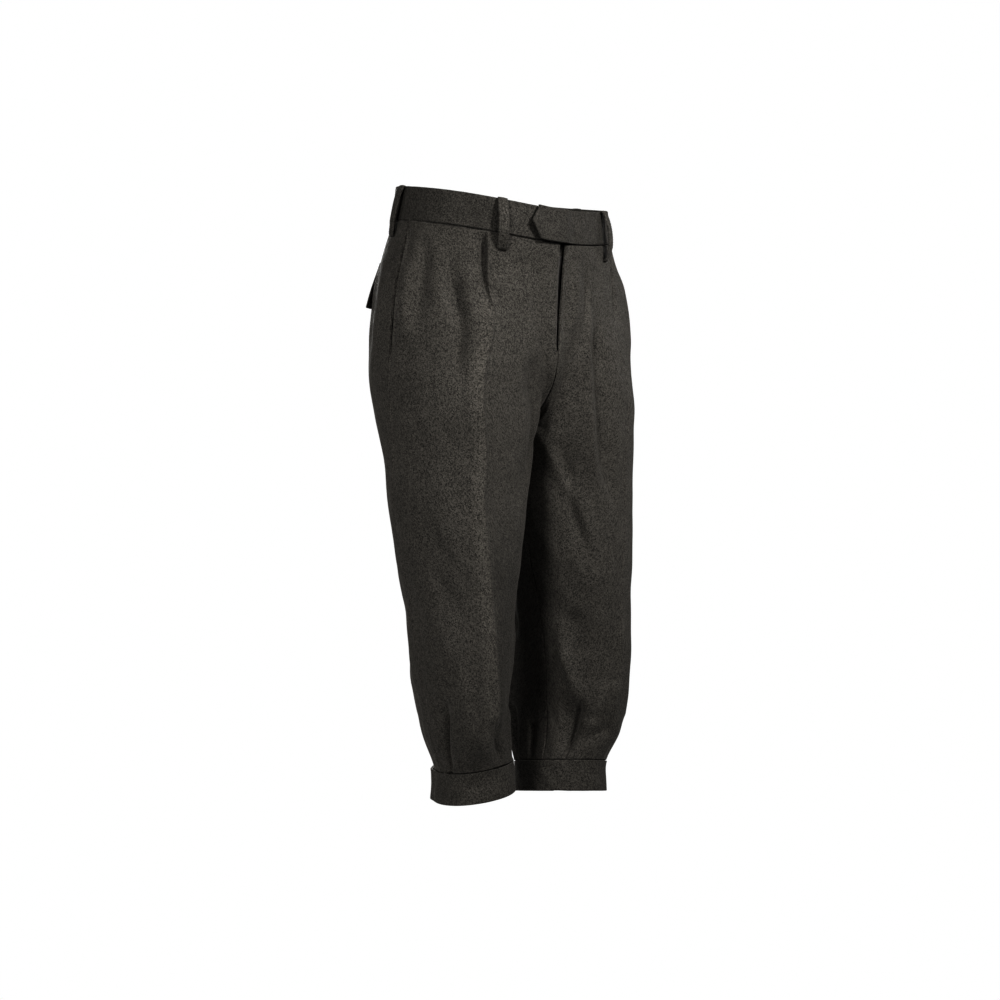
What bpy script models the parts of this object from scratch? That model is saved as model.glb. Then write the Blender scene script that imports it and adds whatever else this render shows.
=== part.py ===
"""Knee breeches in thick wool cloth, filled out as on a wearer, as the pieces a maker cuts and sews.

The breeches stand upright: +Z is up, the front faces -Y and the wearer's right is at -X. The origin
is at the middle of the waistband, half way up it at the sides. Sizes are in millimetres, and MM
turns them into metres.

A place on the cloth is named by its half (right or left), by how far round it lies and by its
level. Round 0 is centre front or the front of the inseam, 1 is the outseam, and 2 is centre back or
the back of the inseam. A level is a height before the waist and the knee bands tilt it.
"""

import math

import bpy
import numpy as np
from mathutils import Vector

MM = 0.001
OBJECT = "knee_breeches"

# ---------------------------------------------------------------- driving sizes
CLOTH = 2.0
BAND_CLOTH = 3.0
SEAM_GAP = 0.3
# Room for the flats of two faceted layers that lie on each other
LAYER_GAP = 0.85
EDGE = 0.25
CENTRE_EDGE = 0.38
# About how much cloth lies in one whole round, for turning a gap into a share of a round
ROUND_OF_CLOTH = 150.0

WAISTBAND_TOP = 20.0
WAIST_SEAM = -20.0
FRONT_FORK_START = -160.0
BACK_FORK_START = -125.0
SIDE_FORK_START = -90.0
CROTCH = -258.0
KNEE_SEAM = -655.0
KNEE_HEM = -691.0

WAIST_DROP_FRONT = 26.0
WAIST_RISE_BACK = 18.0
WAIST_TILT_END = -200.0
# How far each knee band tilts, toward which side round from the front, and how far it drops
KNEE_TILT = {
    # half: tilt, toward, drop
    "right": (9.8, 104.0, 0.0),
    "left": (8.4, 139.0, 7.5),
}
KNEE_TILT_START = -480.0
FORK_REACH = 0.45
# How sharply the fork turns under: 2 is a quarter circle, at the centre seams and away from them
FORK_SHARP_AT_CENTRE = 2.0
FORK_SHARP_AWAY = 1.2
# How far the centre front leans to the wearer's right at the foot of the fly
FLY_SWAY = 5.0
FLY_SWAY_REACH = 110.0
FLY_SWAY_DEPTH = 60.0

# ---------------------------------------------------------------- sections
# Body, one row for each level: half the width, the depth in front of and behind the middle, and
# how square the section is, where 2 is an ellipse
BODY = (
    # level  wide   front  back   square
    (20.0, 137.0, 106.0, 106.0, 2.1),
    (-20.0, 142.0, 109.0, 110.0, 2.1),
    (-60.0, 156.0, 106.0, 112.0, 2.15),
    (-100.0, 168.0, 106.0, 118.0, 2.2),
    (-143.0, 173.0, 107.0, 119.0, 2.2),
    (-200.0, 173.0, 109.0, 114.0, 2.2),
    (-258.0, 169.0, 106.0, 104.0, 2.2),
)
# Leg, one row for each level: its middle outward from the centre and forward, half its width, its
# depth in front of and behind its middle, how square its inner side is, and its turn outward
LEG = (
    # level   out  fore  wide  front  back  square  turn
    (-90.0, 86.0, 2.0, 86.0, 104.0, 116.0, 2.8, 0.0),
    (-165.0, 86.5, 4.0, 86.5, 103.0, 114.0, 2.9, 0.0),
    (-215.0, 85.5, 6.0, 85.3, 101.0, 107.0, 3.0, 0.0),
    (-258.0, 83.5, 8.0, 83.2, 99.0, 96.0, 3.0, 0.0),
    (-284.0, 82.8, 12.0, 82.0, 92.0, 90.0, 2.5, 0.0),
    (-345.0, 85.0, 15.0, 79.0, 86.0, 78.0, 2.2, 4.0),
    (-405.0, 85.5, 19.0, 71.0, 84.0, 78.5, 2.1, 8.0),
    (-465.0, 86.0, 22.0, 61.0, 81.0, 76.0, 2.1, 12.0),
    (-526.0, 86.8, 24.0, 55.6, 79.0, 78.0, 2.1, 15.0),
    (-586.0, 83.0, 22.5, 47.6, 79.0, 79.0, 2.1, 18.0),
    (-623.0, 78.0, 23.7, 44.8, 74.0, 74.0, 2.1, 20.0),
    (-655.0, 68.5, 27.0, 44.0, 58.0, 58.0, 2.1, 20.0),
    (-691.0, 67.6, 28.0, 46.0, 57.0, 57.0, 2.1, 20.0),
)
OUTER_SQUARE = 2.1
# Where the front crease, the outseam and the back crease run, in degrees round from the front
LINES = (
    # level  body: crease  outseam  back crease   leg: crease  outseam  back crease
    (20.0, 50.0, 92.0, 138.0, 24.0, 96.0, 180.0),
    (-90.0, 49.0, 88.0, 137.0, 24.0, 96.0, 180.0),
    (-165.0, 41.0, 87.0, 137.0, 23.0, 96.0, 181.0),
    (-258.0, 39.0, 90.0, 140.0, 18.0, 99.0, 183.0),
    (-345.0, 38.0, 96.0, 145.0, 13.5, 104.0, 186.0),
    (-465.0, 38.0, 96.0, 145.0, -1.0, 96.0, 182.0),
    (-572.0, 38.0, 96.0, 145.0, -10.6, 79.0, 175.0),
    (-655.0, 38.0, 96.0, 145.0, -11.0, 72.0, 171.0),
)

# ---------------------------------------------------------------- folds
# A fold runs from a place to a place, bowed by a share of a round. Its height is out of the cloth,
# or into it where negative. Its edge is how much narrower it is on its side toward the front.
FOLDS = (
    # half     panel    level   round  level   round  bow    height breadth edge
    ("both", "front", -20.0, 0.483, -118.0, 0.495, 0.0, -4.6, 12.0, 0.15),
    ("both", "front", -80.0, 0.495, -648.0, 0.500, 0.0, 2.6, 7.0, 1.0),
    ("right", "front", -52.0, 0.670, -245.0, 0.545, 0.03, -3.2, 13.0, 1.0),
    ("right", "front", -40.0, 0.805, -158.0, 0.905, -0.02, -2.8, 11.0, 1.0),
    ("right", "front", -165.0, 0.265, -330.0, 0.225, 0.01, -3.4, 12.0, 1.0),
    ("right", "front", -330.0, 0.760, -520.0, 0.640, 0.03, -2.6, 15.0, 1.0),
    ("right", "front", -570.0, 0.755, -655.0, 0.880, -0.03, -4.6, 7.0, 0.6),
    ("right", "front", -592.0, 0.540, -655.0, 0.450, 0.0, -4.2, 8.0, 0.7),
    ("left", "front", -60.0, 0.240, -400.0, 0.360, 0.0, 2.6, 10.0, 1.0),
    ("left", "front", -90.0, 0.345, -390.0, 0.460, -0.06, -3.6, 9.0, 1.0),
    ("left", "front", -265.0, 0.228, -425.0, 0.315, -0.03, -3.6, 9.0, 1.0),
    ("left", "front", -470.0, 0.225, -550.0, 0.290, 0.0, -3.6, 13.0, 1.0),
    ("left", "front", -512.0, 0.110, -604.0, 0.340, 0.0, 4.2, 11.0, 1.0),
    ("left", "front", -582.0, 0.310, -655.0, 0.210, 0.0, -5.4, 9.0, 0.5),
    ("left", "front", -616.0, 0.500, -640.0, 0.270, 0.0, -3.0, 7.0, 0.8),
    ("left", "front", -36.0, 0.780, -215.0, 0.760, 0.0, 5.4, 38.0, 1.0),
    ("both", "back", -300.0, 1.500, -648.0, 1.500, 0.0, 2.2, 7.0, 1.0),
    ("both", "back", -20.0, 1.520, -92.0, 1.510, 0.0, -2.4, 6.0, 0.6),
    ("both", "back", -185.0, 1.840, -330.0, 1.740, 0.0, -4.2, 14.0, 1.0),
    ("both", "back", -225.0, 1.620, -345.0, 1.400, 0.0, -3.4, 15.0, 1.0),
    ("right", "back", -400.0, 1.780, -545.0, 1.600, 0.04, -3.8, 14.0, 1.0),
    ("left", "back", -420.0, 1.740, -575.0, 1.580, 0.03, -3.8, 14.0, 1.0),
    ("right", "back", -455.0, 1.180, -560.0, 1.300, 0.0, -3.0, 14.0, 1.0),
    ("left", "back", -330.0, 1.150, -500.0, 1.260, 0.02, -3.0, 14.0, 1.0),
    ("both", "back", -590.0, 1.260, -655.0, 1.230, 0.0, -4.6, 8.0, 0.5),
    ("both", "back", -580.0, 1.680, -655.0, 1.700, 0.0, -4.6, 8.0, 0.5),
)

# A fold rises over the first share of its length and dies away over the last one
FOLD_OPENS = 0.25
FOLD_CLOSES = 0.4
# What is left of a knee tuck's depth where the knee band's seam holds it
TUCK_AT_SEAM = 0.3

# ---------------------------------------------------------------- smaller pieces
FLY_EDGE_RIGHT = 3.4
FLY_EDGE_LEFT = 6.0
FLY_EDGE_CURVE = 0.7
FLY_BOTTOM = -178.0
FLY_SHUTS_OVER = 20.0
NEAR_CENTRE = 0.05
LEAST_BREADTH_AT_CENTRE = 90.0
UNDERLAP_TOP = -21.0
UNDERLAP_BOTTOM = -184.0
UNDERLAP_REACH = (-24.0, 20.0)
# The underlap sinks from its seam to its full recess between these places across
UNDERLAP_RECESS = 4.0
UNDERLAP_BENDS = (-12.0, -3.0)
ZIP_MIDDLE = 1.4
ZIP_WIDTH = 5.0
ZIP_THICK = 1.2

TAB_TIP = 24.5
TAB_CORNER = 18.5
TAB_RISE = 3.3
# The left band climbs over the right one between these angles
TAB_CLIMB = (1.0, 10.0)
# Columns of the left band crowd toward its tab by this power
TAB_CROWDING = 1.5
BAND_STAND = 1.0
BAND_RIGHT_END = 1.0
BAND_BACK_EDGE = 0.15

POCKET_TOP = -34.0
POCKET_BOTTOM = -184.0
POCKET_LIFT = 2.2
POCKET_LIFTS_FROM = 0.86
POCKET_MOUTH = 2.0
# The mouth opens and shuts over these lengths at its top and its foot
POCKET_OPENS_OVER = 8.0
POCKET_SHUTS_OVER = 12.0
FACING_REACH = 0.07
FACING_TOP = POCKET_TOP + 6.0
FACING_BOTTOM = POCKET_BOTTOM - 8.0

FLAP_FROM = 118.0
FLAP_TO = 160.0
FLAP_TOP = -70.0
FLAP_BOTTOM = -120.0
FLAP_LIFT = 6.5
FLAP_CURVE = 1.6

LOOP_WIDTH = 12.0
LOOP_CLOTH = 1.8
LOOP_TOP = WAISTBAND_TOP - 1.0
LOOP_BOTTOM = -39.0
LOOP_ROUNDNESS = 0.55
# The loop's foot leaves the band and comes down onto the panel between these shares
LOOP_STEPS_DOWN = (0.72, 0.84)
# Belt loops: where the top and the foot lie, in degrees round from the front toward the wearer's
# left, and how far the loop stands off the band
LOOPS = (
    # name                     top     foot   stand
    ("belt_loop_front_right", -40.5, -40.5, 7.0),
    ("belt_loop_front_left", 42.0, 42.0, 7.0),
    ("belt_loop_side_right", -98.0, -102.0, 5.4),
    ("belt_loop_side_left", 98.0, 102.0, 5.4),
    ("belt_loop_back", 180.0, 180.0, 7.0),
)

KNEE_LAP_AT = 128.0
KNEE_LAP = 32.0
KNEE_RISE = 3.4
# The band's end climbs over its start between these angles from the start
KNEE_CLIMB = (335.0, 357.0)

# ---------------------------------------------------------------- grids
# Columns of a panel as shares of its breadth, closer beside its crease and its centre seam
FRONT_COLUMNS = (
    0.0, 0.03, 0.09, 0.19, 0.28, 0.35, 0.41, 0.45, 0.474, 0.488,
    0.505, 0.53, 0.57, 0.63, 0.71, 0.79, 0.87, 0.94, 1.0,
)
BACK_COLUMNS = (
    0.0, 0.08, 0.16, 0.25, 0.34, 0.42, 0.47, 0.5,
    0.53, 0.58, 0.66, 0.75, 0.84, 0.92, 0.965, 1.0,
)
ROWS_ABOVE_FORK = 9
ROWS_IN_FORK = 8
ROWS_OF_LEG = 13
ROWS_OF_TUCKS = 5
TUCKS_START = -585.0
WAISTBAND_GRID = (5, 26)
KNEE_BAND_GRID = (4, 41)
UNDERLAP_GRID = (12, 9)
ZIP_GRID = (12, 3)
FACING_GRID = (12, 6)
FLAP_GRID = (6, 9)
LOOP_GRID = (13, 3)

WOOL = (0.060, 0.053, 0.044)
WOOL_DEEP = (0.045, 0.040, 0.034)
ZIP_DARK = (0.020, 0.018, 0.016)
CLOTH_ROUGHNESS = 0.95


# ---------------------------------------------------------------- the shape of the cloth
def ease(share):
    """Rise smoothly from 0 to 1 as share does."""
    share = np.clip(share, 0.0, 1.0)
    return share * share * (3.0 - 2.0 * share)


def between(value, limits):
    """Rise smoothly from 0 at the first limit to 1 at the second."""
    return ease((value - limits[0]) / (limits[1] - limits[0]))


def filled(*values):
    """The values, each filled out to the grid that they span together."""
    return [np.array(value, dtype=float) for value in np.broadcast_arrays(*values)]


def rows_and_columns(size, top, bottom, start, end):
    """Levels down the rows and places along the columns of a grid of a size."""
    down = np.linspace(top, bottom, size[0])[:, None]
    along = np.linspace(start, end, size[1])[None, :]
    return filled(down, along)


def smooth_column(table, column, level):
    """Value of one column at a level, on a smooth curve through every row of a table."""
    levels = np.array([row[0] for row in table])[::-1]
    values = np.array([row[column] for row in table])[::-1]
    slopes = np.gradient(values, levels)
    below = np.clip(np.searchsorted(levels, level) - 1, 0, len(levels) - 2)
    step = levels[below + 1] - levels[below]
    t = np.clip((level - levels[below]) / step, 0.0, 1.0)
    return (
        values[below] * (1 + 2 * t) * (1 - t) ** 2
        + values[below + 1] * t * t * (3 - 2 * t)
        + slopes[below] * step * t * (1 - t) ** 2
        - slopes[below + 1] * step * t * t * (1 - t)
    )


def through(start, middle, end, share):
    """Angle on the curve that is at start, middle and end at shares 0, 1/2 and 1."""
    return start + (4 * middle - 3 * start - end) * share + 2 * (start + end - 2 * middle) * share**2


def round_angle(around, level, first_column, start, end):
    """Angle from the front at a place round a half, in radians."""
    crease, outseam, back = (smooth_column(LINES, first_column + i, level) for i in range(3))
    front_part = through(start, crease, outseam, around)
    back_part = through(outseam, back, end, around - 1.0)
    return np.radians(np.where(around <= 1.0, front_part, back_part))


def section_reach(angle, wide, depth, square):
    """Distance from the middle of a section to its edge, in a direction from the front."""
    across, along = np.abs(np.sin(angle)) / wide, np.abs(np.cos(angle)) / depth
    return (across**square + along**square) ** (-1.0 / square)


def body_point(angle, level):
    """Point of the body's section, with x outward from the middle."""
    wide, front, back, square = (smooth_column(BODY, i, level) for i in (1, 2, 3, 4))
    reach = section_reach(angle, wide, np.where(np.cos(angle) > 0, front, back), square)
    return reach * np.sin(angle), -reach * np.cos(angle)


def leg_point(angle, level):
    """Point of a leg's section, with x outward from the middle."""
    out, fore, wide, front, back, inner, turn = (smooth_column(LEG, i, level) for i in range(1, 8))
    square = np.where(np.sin(angle) < 0, inner, OUTER_SQUARE)
    reach = section_reach(angle, wide, np.where(np.cos(angle) > 0, front, back), square)
    turned = angle + np.radians(turn)
    return out + reach * np.sin(turned), -fore - reach * np.cos(turned)


def waist_tilt(angle, level):
    """How much the tilt of the waist raises a place."""
    slope = (WAIST_DROP_FRONT + WAIST_RISE_BACK) / 2
    bend = (WAIST_DROP_FRONT - WAIST_RISE_BACK) / 2
    rise = -slope * np.cos(angle) - bend * np.cos(angle) ** 2
    return rise * ease((level - WAIST_TILT_END) / (WAIST_SEAM - WAIST_TILT_END))


def knee_tilt(half, x, y, level):
    """How much the tilt of the knee band raises a place on a leg."""
    tilt, toward, drop = KNEE_TILT[half]
    toward = math.radians(toward)
    out, fore = smooth_column(LEG, 1, level), smooth_column(LEG, 2, level)
    low_side = (x - out) * math.sin(toward) - (y + fore) * math.cos(toward)
    fall = math.tan(math.radians(tilt)) * low_side + drop
    return -fall * ease((KNEE_TILT_START - level) / (KNEE_TILT_START - KNEE_SEAM))


def fork_share(around, level):
    """How far a place has gone from the body's section (0) to the leg's (1)."""
    # The cloth turns under tightly at the centre seams and slowly away from them
    from_centre = ease((1.0 - np.abs(around - 1.0)) / FORK_REACH)
    tight = FORK_SHARP_AT_CENTRE + (FORK_SHARP_AWAY - FORK_SHARP_AT_CENTRE) * from_centre
    start = np.where(around < 1.0, FRONT_FORK_START, BACK_FORK_START)
    depth = np.clip((start - level) / (start - CROTCH), 0.0, 1.0)
    turned = 1.0 - (1.0 - depth**tight) ** (1.0 / tight)
    spread = ease((SIDE_FORK_START - level) / (SIDE_FORK_START - CROTCH))
    return turned + (spread - turned) * from_centre


def half_point(half, around, level):
    """Place on the flat cloth of one half, before its folds, with x outward from the middle."""
    around, level = filled(around, level)
    angle = round_angle(around, level, 1, 0.0, 180.0)
    body_x, body_y = body_point(angle, level)
    leg_x, leg_y = leg_point(round_angle(around, level, 4, -90.0, 270.0), level)
    share = fork_share(around, level)
    x = body_x + (leg_x - body_x) * share
    y = body_y + (leg_y - body_y) * share
    z = level + waist_tilt(angle, level) + knee_tilt(half, x, y, level) * share
    return np.stack([np.maximum(x, 0.0), y, z], axis=-1)


def outward(grid):
    """Unit directions out of a grid of points whose rows run down and whose columns run round."""
    down = np.gradient(grid, axis=0)
    along = np.gradient(grid, axis=1)
    direction = np.cross(down, along)
    length = np.linalg.norm(direction, axis=-1, keepdims=True)
    return direction / np.maximum(length, 1e-9)


def fold_height(half, panel, around, level, breadth):
    """Height of all the folds at each place of a panel whose rows are breadth wide for a round."""
    height = np.zeros_like(around)
    for which, where, top, top_round, low, low_round, bow, high, wide, edge in FOLDS:
        if where != panel or which not in ("both", half):
            continue
        # Along and across the fold, in millimetres on the laid-out cloth
        run, fall = (low_round - top_round) * breadth, low - top
        length = np.hypot(run, fall)
        along = ((around - top_round) * breadth * run + (level - top) * fall) / length**2
        share = np.clip(along, 0.0, 1.0)
        line_round = top_round + (low_round - top_round) * share + bow * np.sin(math.pi * share)
        line_level = top + fall * share
        across = (-(around - line_round) * breadth * fall + (level - line_level) * run) / length
        width = np.where(across < 0, wide * edge, wide)
        opens = 1.0 if top == WAIST_SEAM else ease(share / FOLD_OPENS)
        closes = ease((1.0 - share) / FOLD_CLOSES)
        if low == KNEE_SEAM:
            closes = TUCK_AT_SEAM + (1.0 - TUCK_AT_SEAM) * closes
        height += high * np.exp(-((across / width) ** 2)) * opens * closes
    return height


def panel_grid(half, panel, around, level):
    """Outer points of a panel with its folds, and the directions out of it, x outward."""
    flat = half_point(half, around, level)
    direction = outward(flat)
    row_length = np.linalg.norm(np.diff(flat, axis=1), axis=-1).sum(axis=1)
    breadth = (row_length / (around[:, -1] - around[:, 0]))[:, None]
    points = flat + direction * fold_height(half, panel, around, level, breadth)[..., None]
    points[..., 0] = np.maximum(points[..., 0], CENTRE_EDGE)
    return points, direction


def sway(points):
    """Lean the centre front to the wearer's right, most at the foot of the fly."""
    x, y, z = points[..., 0], points[..., 1], points[..., 2]
    down = ease((WAIST_SEAM - z) / (WAIST_SEAM - FLY_BOTTOM)) * ease((z - CROTCH) / (FLY_BOTTOM - CROTCH))
    lean = FLY_SWAY * down * ease(-y / FLY_SWAY_DEPTH) * (1.0 - ease(np.abs(x) / FLY_SWAY_REACH))
    return np.stack([x - lean, y, z], axis=-1)


def on_side(points, half):
    """Turn x outward into the frame's x."""
    return sway(points * np.array([-1.0 if half == "right" else 1.0, 1.0, 1.0]))


# ---------------------------------------------------------------- making objects
def collection_named(name):
    collection = bpy.data.collections.new(name)
    bpy.context.scene.collection.children.link(collection)
    return collection


def cloth_material(name, colour):
    material = bpy.data.materials.new(name)
    material.use_nodes = True
    shader = material.node_tree.nodes["Principled BSDF"]
    shader.inputs["Base Color"].default_value = (*colour, 1.0)
    shader.inputs["Roughness"].default_value = CLOTH_ROUGHNESS
    shader.inputs["Metallic"].default_value = 0.0
    return material


def shell(name, grid, wall, colour, place, mirrored=False, out=False):
    """A sheet through a grid of outer points, thickened inward, or outward where out is set."""
    rows, columns = grid.shape[:2]
    middle = grid.reshape(-1, 3).mean(axis=0)
    corners = [tuple(point) for point in (grid.reshape(-1, 3) - middle) * MM]
    faces = []
    for row in range(rows - 1):
        for column in range(columns - 1):
            first = row * columns + column
            face = (first, first + columns, first + columns + 1, first + 1)
            faces.append(face[::-1] if mirrored else face)
    mesh = bpy.data.meshes.new(name)
    mesh.from_pydata(corners, [], faces)
    mesh.shade_smooth()
    mesh.materials.append(cloth_material(name, colour))
    piece = bpy.data.objects.new(name, mesh)
    piece.location = Vector(middle * MM)
    place["collection"].objects.link(piece)
    piece.parent = place["waist"]
    thick = piece.modifiers.new("wall", "SOLIDIFY")
    thick.thickness = wall * MM
    thick.offset = 1.0 if out else -1.0
    return piece


# ---------------------------------------------------------------- the pieces
def panel_levels():
    """Levels of a panel's rows, closer where the fork turns under and where the knee tucks are."""
    top = WAIST_SEAM - SEAM_GAP
    fork_start = (FRONT_FORK_START + BACK_FORK_START) / 2
    above = np.linspace(top, fork_start, ROWS_ABOVE_FORK, endpoint=False)
    turn = np.linspace(0.0, math.pi / 2, ROWS_IN_FORK + 1)
    fork = fork_start + (CROTCH - fork_start) * np.sin(turn)
    leg = np.linspace(CROTCH, TUCKS_START, ROWS_OF_LEG + 1)[1:]
    tucks = np.linspace(TUCKS_START, KNEE_SEAM + SEAM_GAP, ROWS_OF_TUCKS + 1)[1:]
    return np.concatenate([above, fork, leg, tucks])


def centre_breadth(half, level):
    """How wide the cloth is near the centre front, for each whole round."""
    reach = half_point(half, NEAR_CENTRE, level)[..., 0]
    return np.maximum(reach / NEAR_CENTRE, LEAST_BREADTH_AT_CENTRE)


def centre_edge(half, level):
    """How far the front's centre edge stands from the middle, in millimetres."""
    if half == "right":
        return FLY_EDGE_RIGHT * ease((level - FLY_BOTTOM) / FLY_SHUTS_OVER)
    opened = np.clip((level - FLY_BOTTOM) / (WAIST_SEAM - FLY_BOTTOM), 0.0, 1.0)
    return FLY_EDGE_LEFT * opened**FLY_EDGE_CURVE


def front_panel(half, place):
    """From the fly edge and the inseam to the outseam, whose pocket mouth stands open a little."""
    level, column = filled(panel_levels()[:, None], FRONT_COLUMNS)
    first = (centre_edge(half, level) + CENTRE_EDGE) / centre_breadth(half, level)
    mouth = ease((level - POCKET_BOTTOM) / POCKET_SHUTS_OVER) * ease((POCKET_TOP - level) / POCKET_OPENS_OVER)
    last = 1.0 - (EDGE + mouth * POCKET_MOUTH) / ROUND_OF_CLOTH
    around = first + (last - first) * column
    points, direction = panel_grid(half, "front", around, level)
    lift = POCKET_LIFT * mouth * between(around, (POCKET_LIFTS_FROM, 1.0))
    points = points + direction * lift[..., None]
    shell(f"front_{half}", on_side(points, half), CLOTH, WOOL, place, mirrored=half == "right")


def back_panel(half, place):
    """From the outseam to the centre back and the inseam."""
    level, column = filled(panel_levels()[:, None], BACK_COLUMNS)
    edges = (EDGE + CENTRE_EDGE) / ROUND_OF_CLOTH
    around = 1.0 + EDGE / ROUND_OF_CLOTH + (1.0 - edges) * column
    points, _ = panel_grid(half, "back", around, level)
    shell(f"back_{half}", on_side(points, half), CLOTH, WOOL, place, mirrored=half == "right")


def band_grid(degrees, level, stand):
    """Points of the waist's ring at signed angles from the front, moved out by stand."""
    angle = np.radians(degrees)
    x, y = body_point(angle, level)
    grid = np.stack([x, y, level + waist_tilt(angle, level)], axis=-1)
    return grid + outward(grid) * filled(stand, level)[0][..., None]


def waistband_right(place):
    """From the centre front round the wearer's right to the centre back."""
    ends = (-BAND_RIGHT_END, BAND_BACK_EDGE - 180.0)
    level, degrees = rows_and_columns(WAISTBAND_GRID, WAISTBAND_TOP, WAIST_SEAM, *ends)
    shell("waistband_right", band_grid(degrees, level, BAND_STAND), BAND_CLOTH, WOOL, place, mirrored=True)


def waistband_left(place):
    """From a pointed tab that laps the right half, round the wearer's left to the centre back."""
    level, share = rows_and_columns(WAISTBAND_GRID, WAISTBAND_TOP, WAIST_SEAM, 0.0, 1.0)
    point = 1.0 - np.abs(level) / WAISTBAND_TOP
    start = -(TAB_CORNER + (TAB_TIP - TAB_CORNER) * point)
    degrees = start + (180.0 - BAND_BACK_EDGE - start) * share**TAB_CROWDING
    stand = BAND_STAND + TAB_RISE * (1.0 - between(degrees, TAB_CLIMB))
    shell("waistband_left", band_grid(degrees, level, stand), BAND_CLOTH, WOOL, place)


def fly_strip(size, reach, recess):
    """A strip down the centre front, across from one reach to the other, sunk by a recess."""
    level, across = rows_and_columns(size, UNDERLAP_TOP, UNDERLAP_BOTTOM, *reach)
    grid = half_point("left", np.abs(across) / centre_breadth("left", level), level)
    grid[..., 0] *= np.sign(across)
    return sway(grid - outward(grid) * recess(across)[..., None])


def underlap_recess(across):
    """The underlap hangs from the right front and lies deeper behind the opening."""
    return CLOTH + LAYER_GAP + UNDERLAP_RECESS * between(across, UNDERLAP_BENDS)


def zip_recess(across):
    """The chain lies on the deep part of the underlap."""
    return np.full_like(across, CLOTH + LAYER_GAP - SEAM_GAP + UNDERLAP_RECESS)


def fly(place):
    """The underlap behind the open fly, and the zip chain that lies on it."""
    underlap = fly_strip(UNDERLAP_GRID, UNDERLAP_REACH, underlap_recess)
    shell("fly_underlap", underlap, CLOTH, WOOL_DEEP, place)
    reach = (ZIP_MIDDLE - ZIP_WIDTH / 2, ZIP_MIDDLE + ZIP_WIDTH / 2)
    # The chain stops one row short of the underlap at both ends
    chain = fly_strip(ZIP_GRID, reach, zip_recess)[1:-1]
    shell("fly_zip", chain, ZIP_THICK, ZIP_DARK, place, out=True)


def pocket_facing(half, place):
    """The strip that shows behind the open mouth of a side pocket."""
    ends = (1.0 - FACING_REACH, 1.0 + FACING_REACH)
    level, around = rows_and_columns(FACING_GRID, FACING_TOP, FACING_BOTTOM, *ends)
    flat = half_point(half, around, level)
    grid = flat - outward(flat) * (CLOTH + LAYER_GAP)
    shell(f"pocket_facing_{half}", on_side(grid, half), CLOTH, WOOL_DEEP, place, mirrored=half == "right")


def back_flap(half, place):
    """A pocket flap that hangs from its top edge and stands off the seat at its foot."""
    level, degrees = rows_and_columns(FLAP_GRID, FLAP_TOP, FLAP_BOTTOM, FLAP_FROM, FLAP_TO)
    hang = (FLAP_TOP - level) / (FLAP_TOP - FLAP_BOTTOM)
    grid = band_grid(degrees, level, SEAM_GAP + FLAP_LIFT * hang**FLAP_CURVE)
    name = f"back_pocket_flap_{half}"
    shell(name, on_side(grid, half), CLOTH, WOOL, place, mirrored=half == "right", out=True)


def belt_loop(name, top, foot, stand_off, place):
    """A strip that stands off the waistband, sewn down at its top and below the waist seam."""
    level, across = rows_and_columns(LOOP_GRID, LOOP_TOP, LOOP_BOTTOM, -LOOP_WIDTH / 2, LOOP_WIDTH / 2)
    share = (LOOP_TOP - level) / (LOOP_TOP - LOOP_BOTTOM)
    radius = (smooth_column(BODY, 1, level) + smooth_column(BODY, 2, level)) / 2
    # The top end lies on the band and the bottom end on the panel below it
    seat = SEAM_GAP + BAND_STAND * (1.0 - between(share, LOOP_STEPS_DOWN))
    stand = seat + stand_off * np.clip(np.sin(math.pi * share), 0.0, 1.0) ** LOOP_ROUNDNESS
    degrees = top + (foot - top) * share + np.degrees(across / radius)
    grid = band_grid(degrees, level, stand)
    shell(name, grid, LOOP_CLOTH, WOOL, place, out=True)


def knee_band(half, place):
    """A strip right round the leg, whose end laps its start at the outer back."""
    level, turn = rows_and_columns(KNEE_BAND_GRID, KNEE_SEAM, KNEE_HEM, 0.0, 360.0 + KNEE_LAP)
    x, y = leg_point(np.radians(KNEE_LAP_AT + turn), level)
    grid = np.stack([x, y, level + knee_tilt(half, x, y, level)], axis=-1)
    stand = BAND_STAND + KNEE_RISE * between(turn, KNEE_CLIMB)
    grid = grid + outward(grid) * stand[..., None]
    shell(f"knee_band_{half}", on_side(grid, half), BAND_CLOTH, WOOL, place, mirrored=half == "right")


def main():
    for old in list(bpy.data.objects):
        bpy.data.objects.remove(old)
    collection = collection_named(OBJECT)
    waist = bpy.data.objects.new("waist", None)
    collection.objects.link(waist)
    place = {"collection": collection, "waist": waist}
    for half in ("right", "left"):
        front_panel(half, place)
        back_panel(half, place)
        pocket_facing(half, place)
        back_flap(half, place)
        knee_band(half, place)
    waistband_right(place)
    waistband_left(place)
    fly(place)
    for name, top, foot, stand_off in LOOPS:
        belt_loop(name, top, foot, stand_off, place)
    bpy.context.view_layer.update()


main()
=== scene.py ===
"""Knee breeches in heathered wool: the finished look of every piece, cut and sewn on the part's frame.

The breeches stand upright: +Z is up, the front faces -Y and the wearer's right is at -X. The origin
is at the middle of the waistband. Sizes are in millimetres, and MM turns them into metres.

A place on the cloth is named by its half (right or left), by how far round it lies and by its
level. Round 0 is centre front or the front of the inseam, 1 is the outseam, and 2 is centre back or
the back of the inseam. A level is a height before the waist and the knee bands tilt it.
"""

import math

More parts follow.
